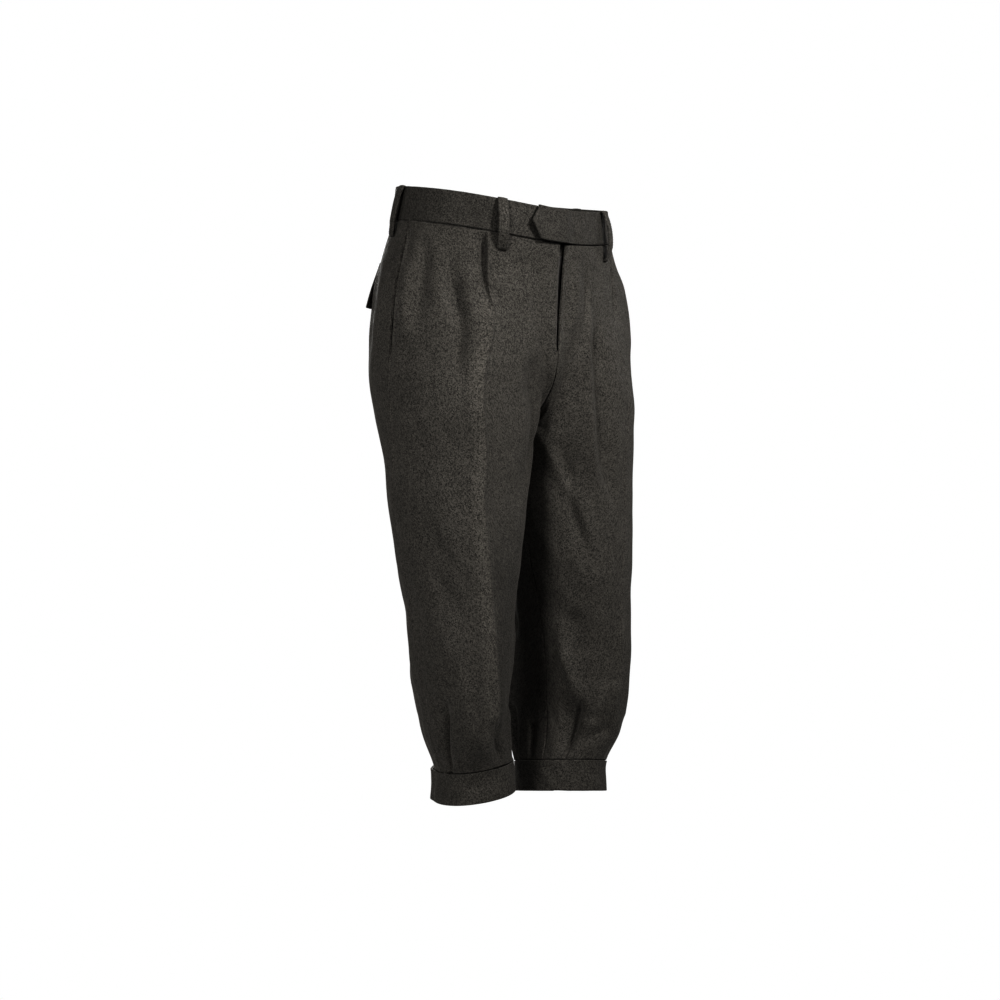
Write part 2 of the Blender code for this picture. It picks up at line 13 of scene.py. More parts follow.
import bpy
import numpy as np
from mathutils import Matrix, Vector


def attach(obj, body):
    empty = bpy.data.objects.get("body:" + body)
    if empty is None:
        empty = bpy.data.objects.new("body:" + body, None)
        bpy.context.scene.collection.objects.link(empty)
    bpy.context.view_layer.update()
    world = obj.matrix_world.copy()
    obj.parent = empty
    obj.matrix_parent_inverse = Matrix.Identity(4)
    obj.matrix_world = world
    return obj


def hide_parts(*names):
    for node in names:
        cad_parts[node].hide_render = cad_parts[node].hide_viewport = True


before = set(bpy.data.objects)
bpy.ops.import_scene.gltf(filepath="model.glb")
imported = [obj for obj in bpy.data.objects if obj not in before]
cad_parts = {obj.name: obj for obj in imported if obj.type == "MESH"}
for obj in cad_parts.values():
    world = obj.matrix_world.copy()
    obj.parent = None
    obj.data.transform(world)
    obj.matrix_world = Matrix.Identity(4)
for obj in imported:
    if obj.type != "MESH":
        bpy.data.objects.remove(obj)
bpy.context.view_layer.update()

MM = 0.001
HALVES = ("right", "left")

# ---------------------------------------------------------------- the cut
# How thick the cloth is, how much of a seam shows, and the gaps that keep layers and edges apart
CLOTH = 2.0
BAND_CLOTH = 3.0
SEAM_GAP = 0.3
SEAM_SHOWS = 1.2
KNEE_SEAM_SHOWS = 0.5
LAYER_GAP = 0.85
EDGE = 0.25
CENTRE_EDGE = 0.38
# About how many millimetres of cloth one round is
ROUND_OF_CLOTH = 150.0

# Levels of the seams and edges, and of where the body starts to part into two legs
WAISTBAND_TOP = 20.0
WAIST_SEAM = -20.0
FRONT_FORK_START = -160.0
BACK_FORK_START = -125.0
SIDE_FORK_START = -90.0
CROTCH = -258.0
KNEE_SEAM = -655.0
KNEE_HEM = -691.0

# The waist is lower in front and higher behind. A knee band tilts down toward an angle from the front
WAIST_DROP_FRONT = 26.0
WAIST_RISE_BACK = 18.0
WAIST_TILT_END = -200.0
KNEE_TILT = {
    # half: tilt, toward, drop
    "right": (9.8, 104.0, 0.0),
    "left": (8.4, 139.0, 7.5),
}
KNEE_TILT_START = -480.0
# How sharply the cloth turns from the body into a leg, and how that is softened
FORK_REACH = 0.45
FORK_SHARP_AT_CENTRE = 2.0
FORK_SHARP_AWAY = 1.2
FORK_SOFT = 22.0
FORK_SOFT_STEPS = (-1.0, -0.5, 0.5, 1.0)
FORK_SOFT_REACH = 66.0
SOFT_AWAY_FROM_SEAMS = (0.08, 0.40)
BREADTH_EVENED_OVER = 40.0
MM_EACH_DEGREE = 2.5
FLY_SWAY = 5.0
FLY_SWAY_REACH = 110.0
FLY_SWAY_DEPTH = 60.0

# Body sections: half the width, the depth in front of and behind the middle, and how square it is
BODY = (
    # level, wide, front, back, square
    (20, 137, 106, 106, 2.1),
    (-20, 142, 109, 110, 2.1),
    (-60, 156, 106, 112, 2.15),
    (-100, 168, 106, 118, 2.2),
    (-143, 173, 107, 119, 2.2),
    (-200, 173, 109, 114, 2.2),
    (-258, 169, 106, 104, 2.2),
)
# Leg sections: the middle outward and forward, half the width, the depth in front and behind, how
# square the inner side is, and the turn outward
LEG = (
    # level, out, fore, wide, front, back, square, turn
    (-90, 86, 2, 86, 104, 116, 2.8, 0),
    (-165, 86.5, 4, 86.5, 103, 114, 2.9, 0),
    (-215, 85.5, 6, 85.3, 101, 107, 3, 0),
    (-258, 83.5, 8, 83.2, 99, 96, 3, 0),
    (-284, 82.8, 12, 82, 92, 90, 2.5, 0),
    (-345, 85, 15, 79, 86, 78, 2.2, 4),
    (-405, 85.5, 19, 71, 84, 78.5, 2.1, 8),
    (-465, 86, 22, 61, 81, 76, 2.1, 12),
    (-526, 86.8, 24, 55.6, 79, 78, 2.1, 15),
    (-586, 83, 22.5, 47.6, 79, 79, 2.1, 18),
    (-623, 78, 23.7, 44.8, 74, 74, 2.1, 20),
    (-655, 68.5, 27, 44, 58, 58, 2.1, 20),
    (-691, 67.6, 28, 46, 57, 57, 2.1, 20),
)
OUTER_SQUARE = 2.1
# Where the front crease, the outseam and the back crease run, in degrees round from the front
LINES = (
    # level, the body's crease, outseam and back crease, the leg's crease, outseam and back crease
    (20, 50, 92, 138, 24, 96, 180),
    (-90, 49, 88, 137, 24, 96, 180),
    (-165, 41, 87, 137, 23, 96, 181),
    (-258, 39, 90, 140, 18, 99, 183),
    (-345, 38, 96, 145, 13.5, 104, 186),
    (-465, 38, 96, 145, -1, 96, 182),
    (-572, 38, 96, 145, -10.6, 79, 175),
    (-655, 38, 96, 145, -11, 72, 171),
)

# ---------------------------------------------------------------- folds
# A fold runs from a place to a place, bowed by a share of a round. Its height is out of the cloth,
# or into it where negative. Its edge scales its breadth on the side of the lower rounds.
FOLDS = {
    # level, round, level, round, bow, height, breadth, edge
    ("right", "front"): (
        (-52, 0.67, -245, 0.545, 0.03, -3.2, 13, 1),
        (-40, 0.805, -158, 0.905, -0.02, -2.8, 11, 1),
        (-165, 0.265, -330, 0.225, 0.01, -3.4, 12, 1),
        (-330, 0.76, -520, 0.64, 0.03, -2.6, 15, 1),
        (-562, 0.77, -655, 0.885, -0.03, -6.4, 14, 0.4),
        (-592, 0.54, -655, 0.45, 0, -3.8, 9, 0.7),
    ),
    ("left", "front"): (
        (-60, 0.24, -400, 0.36, 0, 2.6, 10, 1),
        (-90, 0.345, -390, 0.46, -0.06, -3.6, 9, 1),
        (-265, 0.228, -425, 0.315, -0.03, -3.6, 9, 1),
        (-470, 0.225, -550, 0.29, 0, -3.6, 13, 1),
        (-512, 0.11, -604, 0.34, 0, 4.2, 11, 1),
        (-582, 0.31, -655, 0.21, 0, -7.4, 8, 1.9),
        (-614, 0.52, -640, 0.27, 0, -4.6, 9, 0.8),
        (-36, 0.78, -215, 0.76, 0, 5.4, 38, 1),
    ),
    ("both", "back"): (
        (-20, 1.52, -92, 1.51, 0, -2.4, 6, 0.6),
        (-185, 1.84, -330, 1.74, 0, -4.2, 14, 1),
        (-225, 1.62, -345, 1.4, 0, -3.4, 15, 1),
        (-590, 1.26, -655, 1.23, 0, -4.6, 8, 0.5),
        (-580, 1.68, -655, 1.7, 0, -4.6, 8, 0.5),
    ),
    ("right", "back"): (
        (-400, 1.78, -545, 1.6, 0.04, -3.8, 14, 1),
        (-455, 1.18, -560, 1.3, 0, -3, 14, 1),
    ),
    ("left", "back"): (
        (-420, 1.74, -575, 1.58, 0.03, -3.8, 14, 1),
        (-330, 1.15, -500, 1.26, 0.02, -3, 14, 1),
    ),
}
# Smaller creases, and what deepens the folds above
CREASES = {
    # level, round, level, round, bow, height, breadth, edge
    ("right", "front"): (
        (-50, 0.668, -240, 0.56, 0.03, -3, 8, 1),
        (-42, 0.81, -165, 0.88, -0.02, -2.6, 8, 1),
        (-48, 0.59, -235, 0.555, 0.02, 2.6, 7, 1),
        (-60, 0.735, -215, 0.7, 0.02, 2.2, 11, 1),
        (-60, 0.93, -185, 0.905, 0, 1.5, 8, 1),
        (-70, 0.3, -215, 0.285, 0, 1.5, 20, 1),
        (-175, 0.275, -345, 0.24, 0.01, -2.6, 8, 1),
        (-236, 0.07, -335, 0.33, 0.02, -1.8, 8, 1),
        (-262, 0.16, -440, 0.33, 0.03, 1.8, 11, 1),
        (-420, 0.83, -560, 0.745, 0, 1.8, 15, 1),
        (-545, 0.66, -648, 0.63, 0, 3.2, 9, 1),
        (-585, 0.35, -652, 0.33, 0, 3, 9, 1),
        (-580, 0.785, -655, 0.888, -0.02, -7, 2.8, 1),
        (-480, 0.27, -604, 0.27, 0, 2, 18, 1),
        (-600, 0.53, -655, 0.45, 0, -1.2, 3.2, 1),
        (-600, 0.19, -655, 0.15, 0, -3.2, 6, 0.8),
    ),
    ("left", "front"): (
        (-40, 0.12, -172, 0.135, 0.02, 1.6, 7, 1),
        (-50, 0.2, -185, 0.225, 0.02, -1.8, 4, 1),
        (-75, 0.255, -370, 0.35, 0, 2.4, 6, 1),
        (-118, 0.345, -370, 0.445, -0.05, -3, 6, 1),
        (-215, 0.033, -401, 0.26, 0.05, 2.4, 6, 1),
        (-293, 0.227, -410, 0.3, -0.03, -2.6, 6, 1),
        (-300, 0.18, -452, 0.37, 0.02, 2.4, 8, 1),
        (-420, 0.33, -520, 0.42, 0, 1.8, 14, 1),
        (-520, 0.12, -592, 0.325, 0, 2.8, 8, 1),
        (-560, 0.47, -612, 0.42, 0, 2.6, 12, 1),
        (-575, 0.15, -640, 0.33, 0, -1.2, 8, 1),
        (-584, 0.312, -655, 0.212, 0, -6.6, 2.8, 1),
        (-605, 0.38, -650, 0.35, 0, 2.6, 9, 1),
        (-600, 0.62, -655, 0.6, 0, -3.4, 8, 0.7),
    ),
    ("both", "back"): (
        (-60, 1.18, -200, 1.23, 0, -2.2, 12, 1),
        (-150, 1.93, -262, 1.8, 0, 2.4, 9, 1),
        (-190, 1.84, -325, 1.74, 0, -2.4, 8, 1),
        (-230, 1.615, -340, 1.405, 0, -2.4, 9, 1),
        (-250, 1.93, -360, 1.62, 0, -2.4, 9, 1),
        (-592, 1.26, -655, 1.23, 0, -2.8, 6, 0.8),
        (-600, 1.46, -655, 1.45, 0, -3.6, 7, 0.7),
        (-584, 1.68, -655, 1.7, 0, -2.8, 6, 0.8),
        (-604, 1.86, -655, 1.88, 0, -3.2, 6, 0.8),
    ),
    ("right", "back"): (
        (-470, 1.82, -520, 1.45, 0, -3, 9, 1),
    ),
    ("left", "back"): (
        (-470, 1.6, -612, 1.6, 0, 4.2, 20, 1),
        (-485, 1.8, -545, 1.42, 0, -3, 9, 1),
    ),
}
CREASE_GAIN = 1.35
# Over what share of its length a fold opens and closes, and how open a tuck still is at the knee
FOLD_OPENS = 0.25
DART_OPENS = 0.12
FOLD_CLOSES = 0.4
TUCK_AT_SEAM = 0.3
KNEE_TUCKS = -640.0

# The pressed creases: a round ridge on the front and on the back of each leg
PRESSED = {
    # half and panel: round at the top and the foot, top level, low level, height, breadth, painted highlight
    ("right", "front"): (0.500, 0.514, -95.0, -640.0, 8.0, 14.0, 0.42),
    ("left", "front"): (0.497, 0.497, -95.0, -640.0, 2.4, 15.0, 0.08),
    ("right", "back"): (1.500, 1.500, -300.0, -640.0, 3.4, 6.5, 0.18),
    ("left", "back"): (1.500, 1.500, -300.0, -640.0, 3.4, 6.5, 0.18),
}
PRESSED_FADE = 60.0
PRESSED_CROWN = 4.5
PRESSED_EDGE = 2.4
PRESSED_EDGE_WIDE = 2.4
PRESSED_EDGE_FROM = 1.0
PRESSED_EDGE_FADE = 24.0
# Across the crease, where its painted highlight rises and where it fades
CREASE_HIGHLIGHT_STARTS = (-0.6, 0.6)
CREASE_HIGHLIGHT_ENDS = (8.5, 15.0)
# Low on the inseam side of a crease the cloth is painted darker, as painted shade, by this share of the
# crease's painted highlight
CREASE_PAINTED_SHADE = 0.72
CREASE_SHADE_LEVELS = (-320.0, -450.0)
CREASE_SHADE_ACROSS = (-1.0, -9.0)
# The pleat, whose lip faces the outseam
PLEAT_TOP_ROUND = 0.483
PLEAT_LOW_ROUND = 0.495
PLEAT_END = -140.0
PLEAT_DEPTH = 9.0
PLEAT_BREADTH = 7.0
PLEAT_LIP = 1.1
PLEAT_LIP_BREADTH = 11.0
PLEAT_WALL = 2.8
PLEAT_FOOT = 0.4
PLEAT_OPENS = 0.16
PLEAT_CLOSES = 0.8

# ---------------------------------------------------------------- smaller pieces
# The open fly, with its underlap and its zip
FLY_EDGE_RIGHT = 3.4
FLY_EDGE_LEFT = 6.0
FLY_EDGE_CURVE = 0.7
FLY_BOTTOM = -178.0
FLY_SHUTS_OVER = 20.0
LAP_BELOW_FLY = 172.0
NEAR_CENTRE = 0.05
LEAST_BREADTH_AT_CENTRE = 90.0
UNDERLAP_TOP = -12.0
UNDERLAP_BOTTOM = -184.0
UNDERLAP_REACH = (-24.0, 20.0)
UNDERLAP_RECESS = 4.0
UNDERLAP_BENDS = (-12.0, -3.0)
ZIP_MIDDLE = 1.4
ZIP_TAPE = 10.6
ZIP_TAPE_THICK = 0.5
ZIP_TOP = UNDERLAP_TOP - 23.0
ZIP_BOTTOM = UNDERLAP_BOTTOM + 14.0
ZIP_TOOTH_PITCH = 1.4
# Half of a tooth across, along and out of the chain, and where it sits
ZIP_TOOTH = (1.1, 0.55, 0.45)
ZIP_TOOTH_SEAT = 0.4
ZIP_TOOTH_OFFSET = 0.45
ZIP_CHAIN_INSET = 1.0
# Rings of a tooth: how high it lies, and how full it is
ZIP_TOOTH_RINGS = ((-1.0, 0.7), (0.0, 1.0), (1.0, 0.55))
ZIP_TOOTH_SIDES = 8

# The waistband and its tab, in degrees round from the front where not in millimetres
TAB_TIP = 24.5
TAB_CORNER = 18.5
TAB_RISE = 4.4
TAB_CLIMB = (1.0, 10.0)
TAB_CURL = 2.8
TAB_CURL_END = -10.0
TAB_CROWDING = 1.5
BAND_STAND = 1.0
BAND_RIGHT_END = 1.0
BAND_BACK_EDGE = 0.15

# A side pocket's mouth, and the facing behind it
POCKET_TOP = -34.0
POCKET_BOTTOM = -184.0
POCKET_LIFT = 0.6
POCKET_LIFTS_FROM = 0.86
POCKET_MOUTH = 2.7
POCKET_OPENS_OVER = 8.0
POCKET_SHUTS_OVER = 12.0
FACING_REACH = 0.07
FACING_TOP = POCKET_TOP + 6.0
FACING_BOTTOM = POCKET_BOTTOM - 8.0
FACING_RECESS = CLOTH + LAYER_GAP + 0.4

# A back flap, which reaches from one angle to another and stands off the seat at its foot
FLAP_FROM = 118.0
FLAP_TO = 160.0
FLAP_TOP = -70.0
FLAP_BOTTOM = -120.0
FLAP_LIFT = 6.5
FLAP_CURVE = 1.6

LOOP_WIDTH = 12.0
LOOP_CLOTH = 1.8
LOOP_FULLER = 0.5
LOOP_TOP = WAISTBAND_TOP - 1.0
LOOP_BOTTOM = -39.0
LOOP_ROUNDNESS = 0.55
LOOP_STEPS_DOWN = (0.72, 0.84)
# Belt loops: where the top and the foot lie, in degrees round from the front toward the wearer's
# left, and how far the loop stands off the band
LOOPS = (
    # name, top, foot, stand
    ("front_right", -40.5, -40.5, 7),
    ("front_left", 42, 42, 7),
    ("side_right", -98, -102, 5.4),
    ("side_left", 98, 102, 5.4),
    ("back", 180, 180, 7),
)

# A knee band starts at an angle from the front of the leg, and climbs over its own start
KNEE_LAP_AT = 128.0
KNEE_LAP = 32.0
KNEE_RISE = 3.4
KNEE_CLIMB = (335.0, 357.0)

# How far the cloth rolls under at its edges, how its allowances lie, and how far a seam stands up
PANEL_ROLL = 1.3
BAND_ROLL = 1.5
KNEE_BAND_ROLL = 0.7
STRIP_ROLL = 0.8
ALLOWANCE = 4.5
ALLOWANCE_STEP = 0.3
LAP_STEP = 1.6
LAP_REACH = 6.0
# A side allowance runs on in the direction that the cloth has this many columns in
LAP_FROM = 14
LAP_GROWS_OVER = 6.0
SEAM_WELT = 0.7
SEAM_WELT_WIDE = 3.4
SEAM_WELT_STEP = 1.6
ROLL_FULLNESS = 0.98

# Soft unevenness of the cloth: how high it stands, its length across and down, and its seeds. A
# front and a back of one half share a seed, so that they meet at the outseam.
WAVES = 9
WAVINESS = 0.55
WAVE_ACROSS = 34.0
WAVE_DOWN = 78.0
WAISTBAND_WAVES = 0.8
BAND_WAVES_DOWN = 1.6
PANEL_SEED = {"right": 11, "left": 12}
WAISTBAND_SEED = {"right": 3, "left": 4}
KNEE_BAND_SEED = {"right": 5, "left": 6}

# How many rows and columns of points each piece is laid out on
PANEL_ROWS = 250
FRONT_COLUMNS = 138
BACK_COLUMNS = 124
BAND_ROWS = 26
BAND_COLUMNS = 230
TABBED_BAND_COLUMNS = 250
LOOP_ROWS = 60
LOOP_COLUMNS = 17
FLAP_ROWS = 34
FLAP_COLUMNS = 60
FLY_ROWS = 60
UNDERLAP_COLUMNS = 31
ZIP_ROWS = 80
ZIP_COLUMNS = 9
FACING_ROWS = 60
FACING_COLUMNS = 15
PANEL_SEWING_POINTS = 200
STRIP_SEWING_POINTS = 160
CROWDING_STEPS = 6001

# Sewing
STITCH = 2.3
STITCH_SPACE = 0.9
THREAD = 0.42
THREAD_SIDES = 6
# Rings along a stitch: its share of the stitch, how far out it stands and how full it is, in threads
STITCH_RINGS = (
    (0.0, -0.5, 0.25),
    (0.2, 0.25, 0.8),
    (0.5, 0.5, 1.0),
    (0.8, 0.25, 0.8),
    (1.0, -0.5, 0.25),
)
# On the left front the sewing runs down beside the opening and round to its foot
FLY_SEWING = (
    # round, level
    (0.165, -25),
    (0.194, -93),
    (0.236, -145),
    (0.227, -172),
    (0.176, -182),
    (0.031, -189),
)
POCKET_SEWING = 6.0
POCKET_SEWING_TOP = -26.0
POCKET_SEWING_FOOT = POCKET_BOTTOM - 6.0
POCKET_BAR_END = 1.6
POCKET_BAR_SPACE = 0.2
# How many rows and columns in from a strip's edges its sewing runs
LOOP_SEWING = (2.0, 3.6)
LOOP_BAR = (5.0, 2.0)
LOOP_BAR_SPACE = 0.15
FLAP_SEWING = (5.0, 6.0)

# ---------------------------------------------------------------- colours and light
WOOL_DARK = (0.0020, 0.0019, 0.0017)
WOOL_LIGHT = (0.080, 0.0742, 0.0645)
WOOL_FLECK = (0.150, 0.138, 0.118)
# Painted shade: the waistband's light fibre is darker than the panels', so that the band reads as shaded
BAND_FIBRE_DARKENED_AS_SHADE = (0.056, 0.0520, 0.0452)
# Painted shade: the fly underlap and pocket facings are the same wool, darkened to stand for the shadow in
# the openings
SHADE_DARK = (0.004, 0.0038, 0.0035)
SHADE_LIGHT = (0.060, 0.056, 0.049)
THREAD_COLOUR = (0.030, 0.027, 0.024)
ZIP_COLOUR = (0.018, 0.0165, 0.0145)
TOOTH_COLOUR = (0.100, 0.092, 0.082)

# The wool's textures, at scales for each millimetre, and the limits that they are spread between
TUFT_SCALE = 0.85
FIBRE_SCALE = (1.3, 0.6, 1.0)
SPECK_SCALE = (1.9, 1.2, 1.0)
CLOUD_SCALE = 0.022
HEATHER = (0.26, 0.74)
SPECKS = (0.66, 0.78)
CLOUDS = (0.3, 0.7)
CLOUD_SHADE = (0.90, 1.10)
TWILL = {"Scale": 0.30, "Distortion": 2.5, "Detail": 2.0, "Detail Scale": 1.4}
TWILL_HEIGHT = 0.35
FIBRE_HEIGHT = 0.9
NOISE_ROUGHNESS = 0.55
WOOL_ROUGHNESS = (0.92, 0.56)
WOOL_BUMP = 0.35
WOOL_RELIEF = 0.4

PAPER = (0.80, 0.80, 0.80)
WHITE = (1.0, 1.0, 1.0, 1.0)
AMBIENT = 0.02
CONTRAST_GAMMA = 0.70

CAMERA_AZIMUTH = -40.0
CAMERA_DISTANCE = 2400.0
CAMERA_LEVEL = -366.0
CAMERA_AIM = (-2.8, 2.3, -344.9)
CAMERA_LENS = 71.5
CAMERA_SENSOR = 36.0

FLOOR_LEVEL = -1080.0
FLOOR_RADIUS = 9000.0
LIGHTS = (
    # name, azimuth, distance, level, the level that it is aimed at, size, spread in degrees, power
    ("side", -62, 2300, 350, -380, 520, 60, 4.9),
    ("hips", 12, 1500, 850, -250, 420, 50, 3.7),
    ("front", -15, 2300, 200, -380, 700, 60, 0.8),
    ("far_side", 80, 2300, 500, -380, 700, 60, 1.2),
    ("left_rim", -116, 2200, 300, -380, 600, 60, 1.5),
    ("back_rim", 155, 2200, 400, -380, 800, 60, 3.4),
)


# ---------------------------------------------------------------- the shape of the cloth
def ease(share):
    """Rise smoothly from 0 to 1 as share does."""
    share = np.clip(share, 0.0, 1.0)
    return share * share * (3.0 - 2.0 * share)


def between(value, limits):
    """Rise smoothly from 0 at the first limit to 1 at the second."""
    return ease((value - limits[0]) / (limits[1] - limits[0]))


def filled(*values):
    """The values, each filled out to the grid that they span together."""
    return [np.array(value, dtype=float) for value in np.broadcast_arrays(*values)]


def crowded(start, end, count, *dense):
    """Places from start to end, crowded toward each (place, reach, gain)."""
    fine = np.linspace(start, end, CROWDING_STEPS)
    density = np.ones_like(fine)
    for place, reach, gain in dense:
        density += gain * np.exp(-(((fine - place) / reach) ** 2))
    run = np.concatenate([[0.0], np.cumsum((density[1:] + density[:-1]) / 2)])
    return np.interp(np.linspace(0.0, run[-1], count), run, fine)


def crowded_at_ends(start, end, count, reach, gain, *dense):
    """Places from start to end, crowded toward both of them and each (place, reach, gain)."""
    return crowded(start, end, count, (start, reach, gain), (end, reach, gain), *dense)


def smooth_column(table, column, level):
    """Value of one column at a level, on a smooth curve through every row of a table."""
    levels = np.array([row[0] for row in table])[::-1]
    values = np.array([row[column] for row in table])[::-1]
    slopes = np.gradient(values, levels)
    below = np.clip(np.searchsorted(levels, level) - 1, 0, len(levels) - 2)
    step = levels[below + 1] - levels[below]
    t = np.clip((level - levels[below]) / step, 0.0, 1.0)
    return (
        values[below] * (1 + 2 * t) * (1 - t) ** 2
        + values[below + 1] * t * t * (3 - 2 * t)
        + slopes[below] * step * t * (1 - t) ** 2
        - slopes[below + 1] * step * t * t * (1 - t)
    )


def through(start, middle, end, share):
    """Angle on the curve that is at start, middle and end at shares 0, 1/2 and 1."""
    return start + (4 * middle - 3 * start - end) * share + 2 * (start + end - 2 * middle) * share**2


def round_angle(around, level, first_column, start, end):
    """Angle from the front at a place round a half, in radians."""
    crease, outseam, back = (smooth_column(LINES, first_column + i, level) for i in range(3))
    front_part = through(start, crease, outseam, around)
    back_part = through(outseam, back, end, around - 1.0)
    return np.radians(np.where(around <= 1.0, front_part, back_part))


def section_reach(angle, wide, depth, square):
    """Distance from the middle of a section to its edge, in a direction from the front."""
    across, along = np.abs(np.sin(angle)) / wide, np.abs(np.cos(angle)) / depth
    return (across**square + along**square) ** (-1.0 / square)


def body_point(angle, level):
    """Point of the body's section, with x outward from the middle."""
    wide, front, back, square = (smooth_column(BODY, i, level) for i in (1, 2, 3, 4))
    reach = section_reach(angle, wide, np.where(np.cos(angle) > 0, front, back), square)
    return reach * np.sin(angle), -reach * np.cos(angle)


def leg_point(angle, level):
    """Point of a leg's section, with x outward from the middle."""
    out, fore, wide, front, back, inner, turn = (smooth_column(LEG, i, level) for i in range(1, 8))
    square = np.where(np.sin(angle) < 0, inner, OUTER_SQUARE)
    reach = section_reach(angle, wide, np.where(np.cos(angle) > 0, front, back), square)
    turned = angle + np.radians(turn)
    return out + reach * np.sin(turned), -fore - reach * np.cos(turned)


def waist_tilt(angle, level):
    """How much the tilt of the waist raises a place."""
    slope = (WAIST_DROP_FRONT + WAIST_RISE_BACK) / 2
    bend = (WAIST_DROP_FRONT - WAIST_RISE_BACK) / 2
    rise = -slope * np.cos(angle) - bend * np.cos(angle) ** 2
    return rise * ease((level - WAIST_TILT_END) / (WAIST_SEAM - WAIST_TILT_END))


def knee_tilt(half, x, y, level):
    """How much the tilt of the knee band raises a place on a leg."""
    tilt, toward, drop = KNEE_TILT[half]
    toward = math.radians(toward)
    out, fore = smooth_column(LEG, 1, level), smooth_column(LEG, 2, level)
    low_side = (x - out) * math.sin(toward) - (y + fore) * math.cos(toward)
    fall = math.tan(math.radians(tilt)) * low_side + drop
    return -fall * ease((KNEE_TILT_START - level) / (KNEE_TILT_START - KNEE_SEAM))


def fork_share(around, level):
    """How far a place has gone from the body's section (0) to the leg's (1)."""
    from_centre = ease((1.0 - np.abs(around - 1.0)) / FORK_REACH)
    tight = FORK_SHARP_AT_CENTRE + (FORK_SHARP_AWAY - FORK_SHARP_AT_CENTRE) * from_centre
    start = np.where(around < 1.0, FRONT_FORK_START, BACK_FORK_START)
    depth = np.clip((start - level) / (start - CROTCH), 0.0, 1.0)
    turned = 1.0 - (1.0 - depth**tight) ** (1.0 / tight)
    spread = ease((SIDE_FORK_START - level) / (SIDE_FORK_START - CROTCH))
    return turned + (spread - turned) * from_centre


def half_point(half, around, level):
    """Place on the flat cloth of one half, before its folds, with x outward from the middle."""
    around, level = filled(around, level)
    angle = round_angle(around, level, first_column=1, start=0.0, end=180.0)
    body_x, body_y = body_point(angle, level)
    leg_angle = round_angle(around, level, first_column=4, start=-90.0, end=270.0)
    leg_x, leg_y = leg_point(leg_angle, level)
    share = fork_share(around, level)
    x = body_x + (leg_x - body_x) * share
    y = body_y + (leg_y - body_y) * share
    z = level + waist_tilt(angle, level) + knee_tilt(half, x, y, level) * share
    return np.stack([np.maximum(x, 0.0), y, z], axis=-1)


def soft_point(half, around, level):
    """Place on the flat cloth, with its turn into the legs softened away from the centre seams."""
    flat = half_point(half, around, level)
    steps = [half_point(half, around, level + step * FORK_SOFT) for step in FORK_SOFT_STEPS]
    soft = sum(steps) / len(steps)
    soft[..., 2] = flat[..., 2]
    near = 1.0 - ease(np.abs(level - CROTCH) / FORK_SOFT_REACH)
    away = between(1.0 - np.abs(around - 1.0), SOFT_AWAY_FROM_SEAMS)
    return flat + (soft - flat) * (near * away)[..., None]


def outward(grid):
    """Unit directions out of a grid of points whose rows run down and whose columns run round."""
    down = np.gradient(grid, axis=0)
    along = np.gradient(grid, axis=1)
    direction = np.cross(down, along)
    length = np.linalg.norm(direction, axis=-1, keepdims=True)
    return direction / np.maximum(length, 1e-9)


def laid_out(grid):
    """How far each point of a grid lies along its row and down its column, on the laid-out cloth."""
    along = np.linalg.norm(np.diff(grid, axis=1, prepend=grid[:, :1]), axis=-1).cumsum(axis=1)
    down = np.linalg.norm(np.diff(grid, axis=0, prepend=grid[:1]), axis=-1).cumsum(axis=0)
    return along, down


def rolled(grid, roll):
    """The grid with its four edges rolled under."""
    along, down = laid_out(grid)
    depth = np.zeros(grid.shape[:2])
    for reach in (along, along[:, -1:] - along, down, down[-1:] - down):
        near = np.clip(1.0 - reach / roll, 0.0, 1.0)
        depth += roll * (1.0 - np.sqrt(1.0 - ROLL_FULLNESS * near**2))
    return grid - outward(grid) * np.minimum(depth, roll)[..., None]


def turned_in(grid):
    """The grid with its top and foot allowances, which step in behind the bands."""
    direction = outward(grid)
    top, foot = grid[0] - direction[2] * ALLOWANCE_STEP, grid[-1] - direction[-3] * ALLOWANCE_STEP
    rise = [0.0, 0.0, ALLOWANCE]
    return np.concatenate([(top + rise)[None], top[None], grid, foot[None], (foot - rise)[None]])


def lapped(grid, first, last):
    """The grid with an allowance down each side, which passes behind the cloth that it is sewn to.

    First and last are how much of the allowance each row has on that side, from 0 to 1.
    """
    direction = outward(grid)
    columns = [grid]
    for side, share in ((0, first), (-1, last)):
        inset = LAP_FROM if side == 0 else -1 - LAP_FROM
        along = grid[:, side] - grid[:, inset]
        along /= np.linalg.norm(along, axis=-1, keepdims=True)
        step = grid[:, side] - direction[:, inset] * (LAP_STEP * share + EDGE)[:, None]
        behind = step + along * (LAP_REACH * share + EDGE)[:, None]
        pair = [behind[:, None], step[:, None]]
        columns = pair + columns if side == 0 else columns + pair[::-1]
    return np.concatenate(columns, axis=1)


def fold_height(half, panel, around, level, breadth):
    """Height of all the folds at each place of a panel whose rows are breadth wide for a round."""
    height = np.zeros_like(around)
    rows = []
    for gain, table in ((1.0, FOLDS), (CREASE_GAIN, CREASES)):
        for key in ((half, panel), ("both", panel)):
            rows += [(gain, *row) for row in table.get(key, ())]
    for gain, top, top_round, low, low_round, bow, high, wide, edge in rows:
        # Along and across the fold, in millimetres on the laid-out cloth
        run, fall = (low_round - top_round) * breadth, low - top
        length = np.hypot(run, fall)
        along = ((around - top_round) * breadth * run + (level - top) * fall) / length**2
        share = np.clip(along, 0.0, 1.0)
        line_round = top_round + (low_round - top_round) * share + bow * np.sin(math.pi * share)
        line_level = top + fall * share
        across = (-(around - line_round) * breadth * fall + (level - line_level) * run) / length
        width = np.where(across < 0, wide * edge, wide)
        opens = ease(share / (DART_OPENS if top == WAIST_SEAM else FOLD_OPENS))
        closes = ease((1.0 - share) / FOLD_CLOSES)
        if low == KNEE_SEAM:
            closes = TUCK_AT_SEAM + (1.0 - TUCK_AT_SEAM) * closes
        height += gain * high * np.exp(-((across / width) ** 2)) * opens * closes
    return height


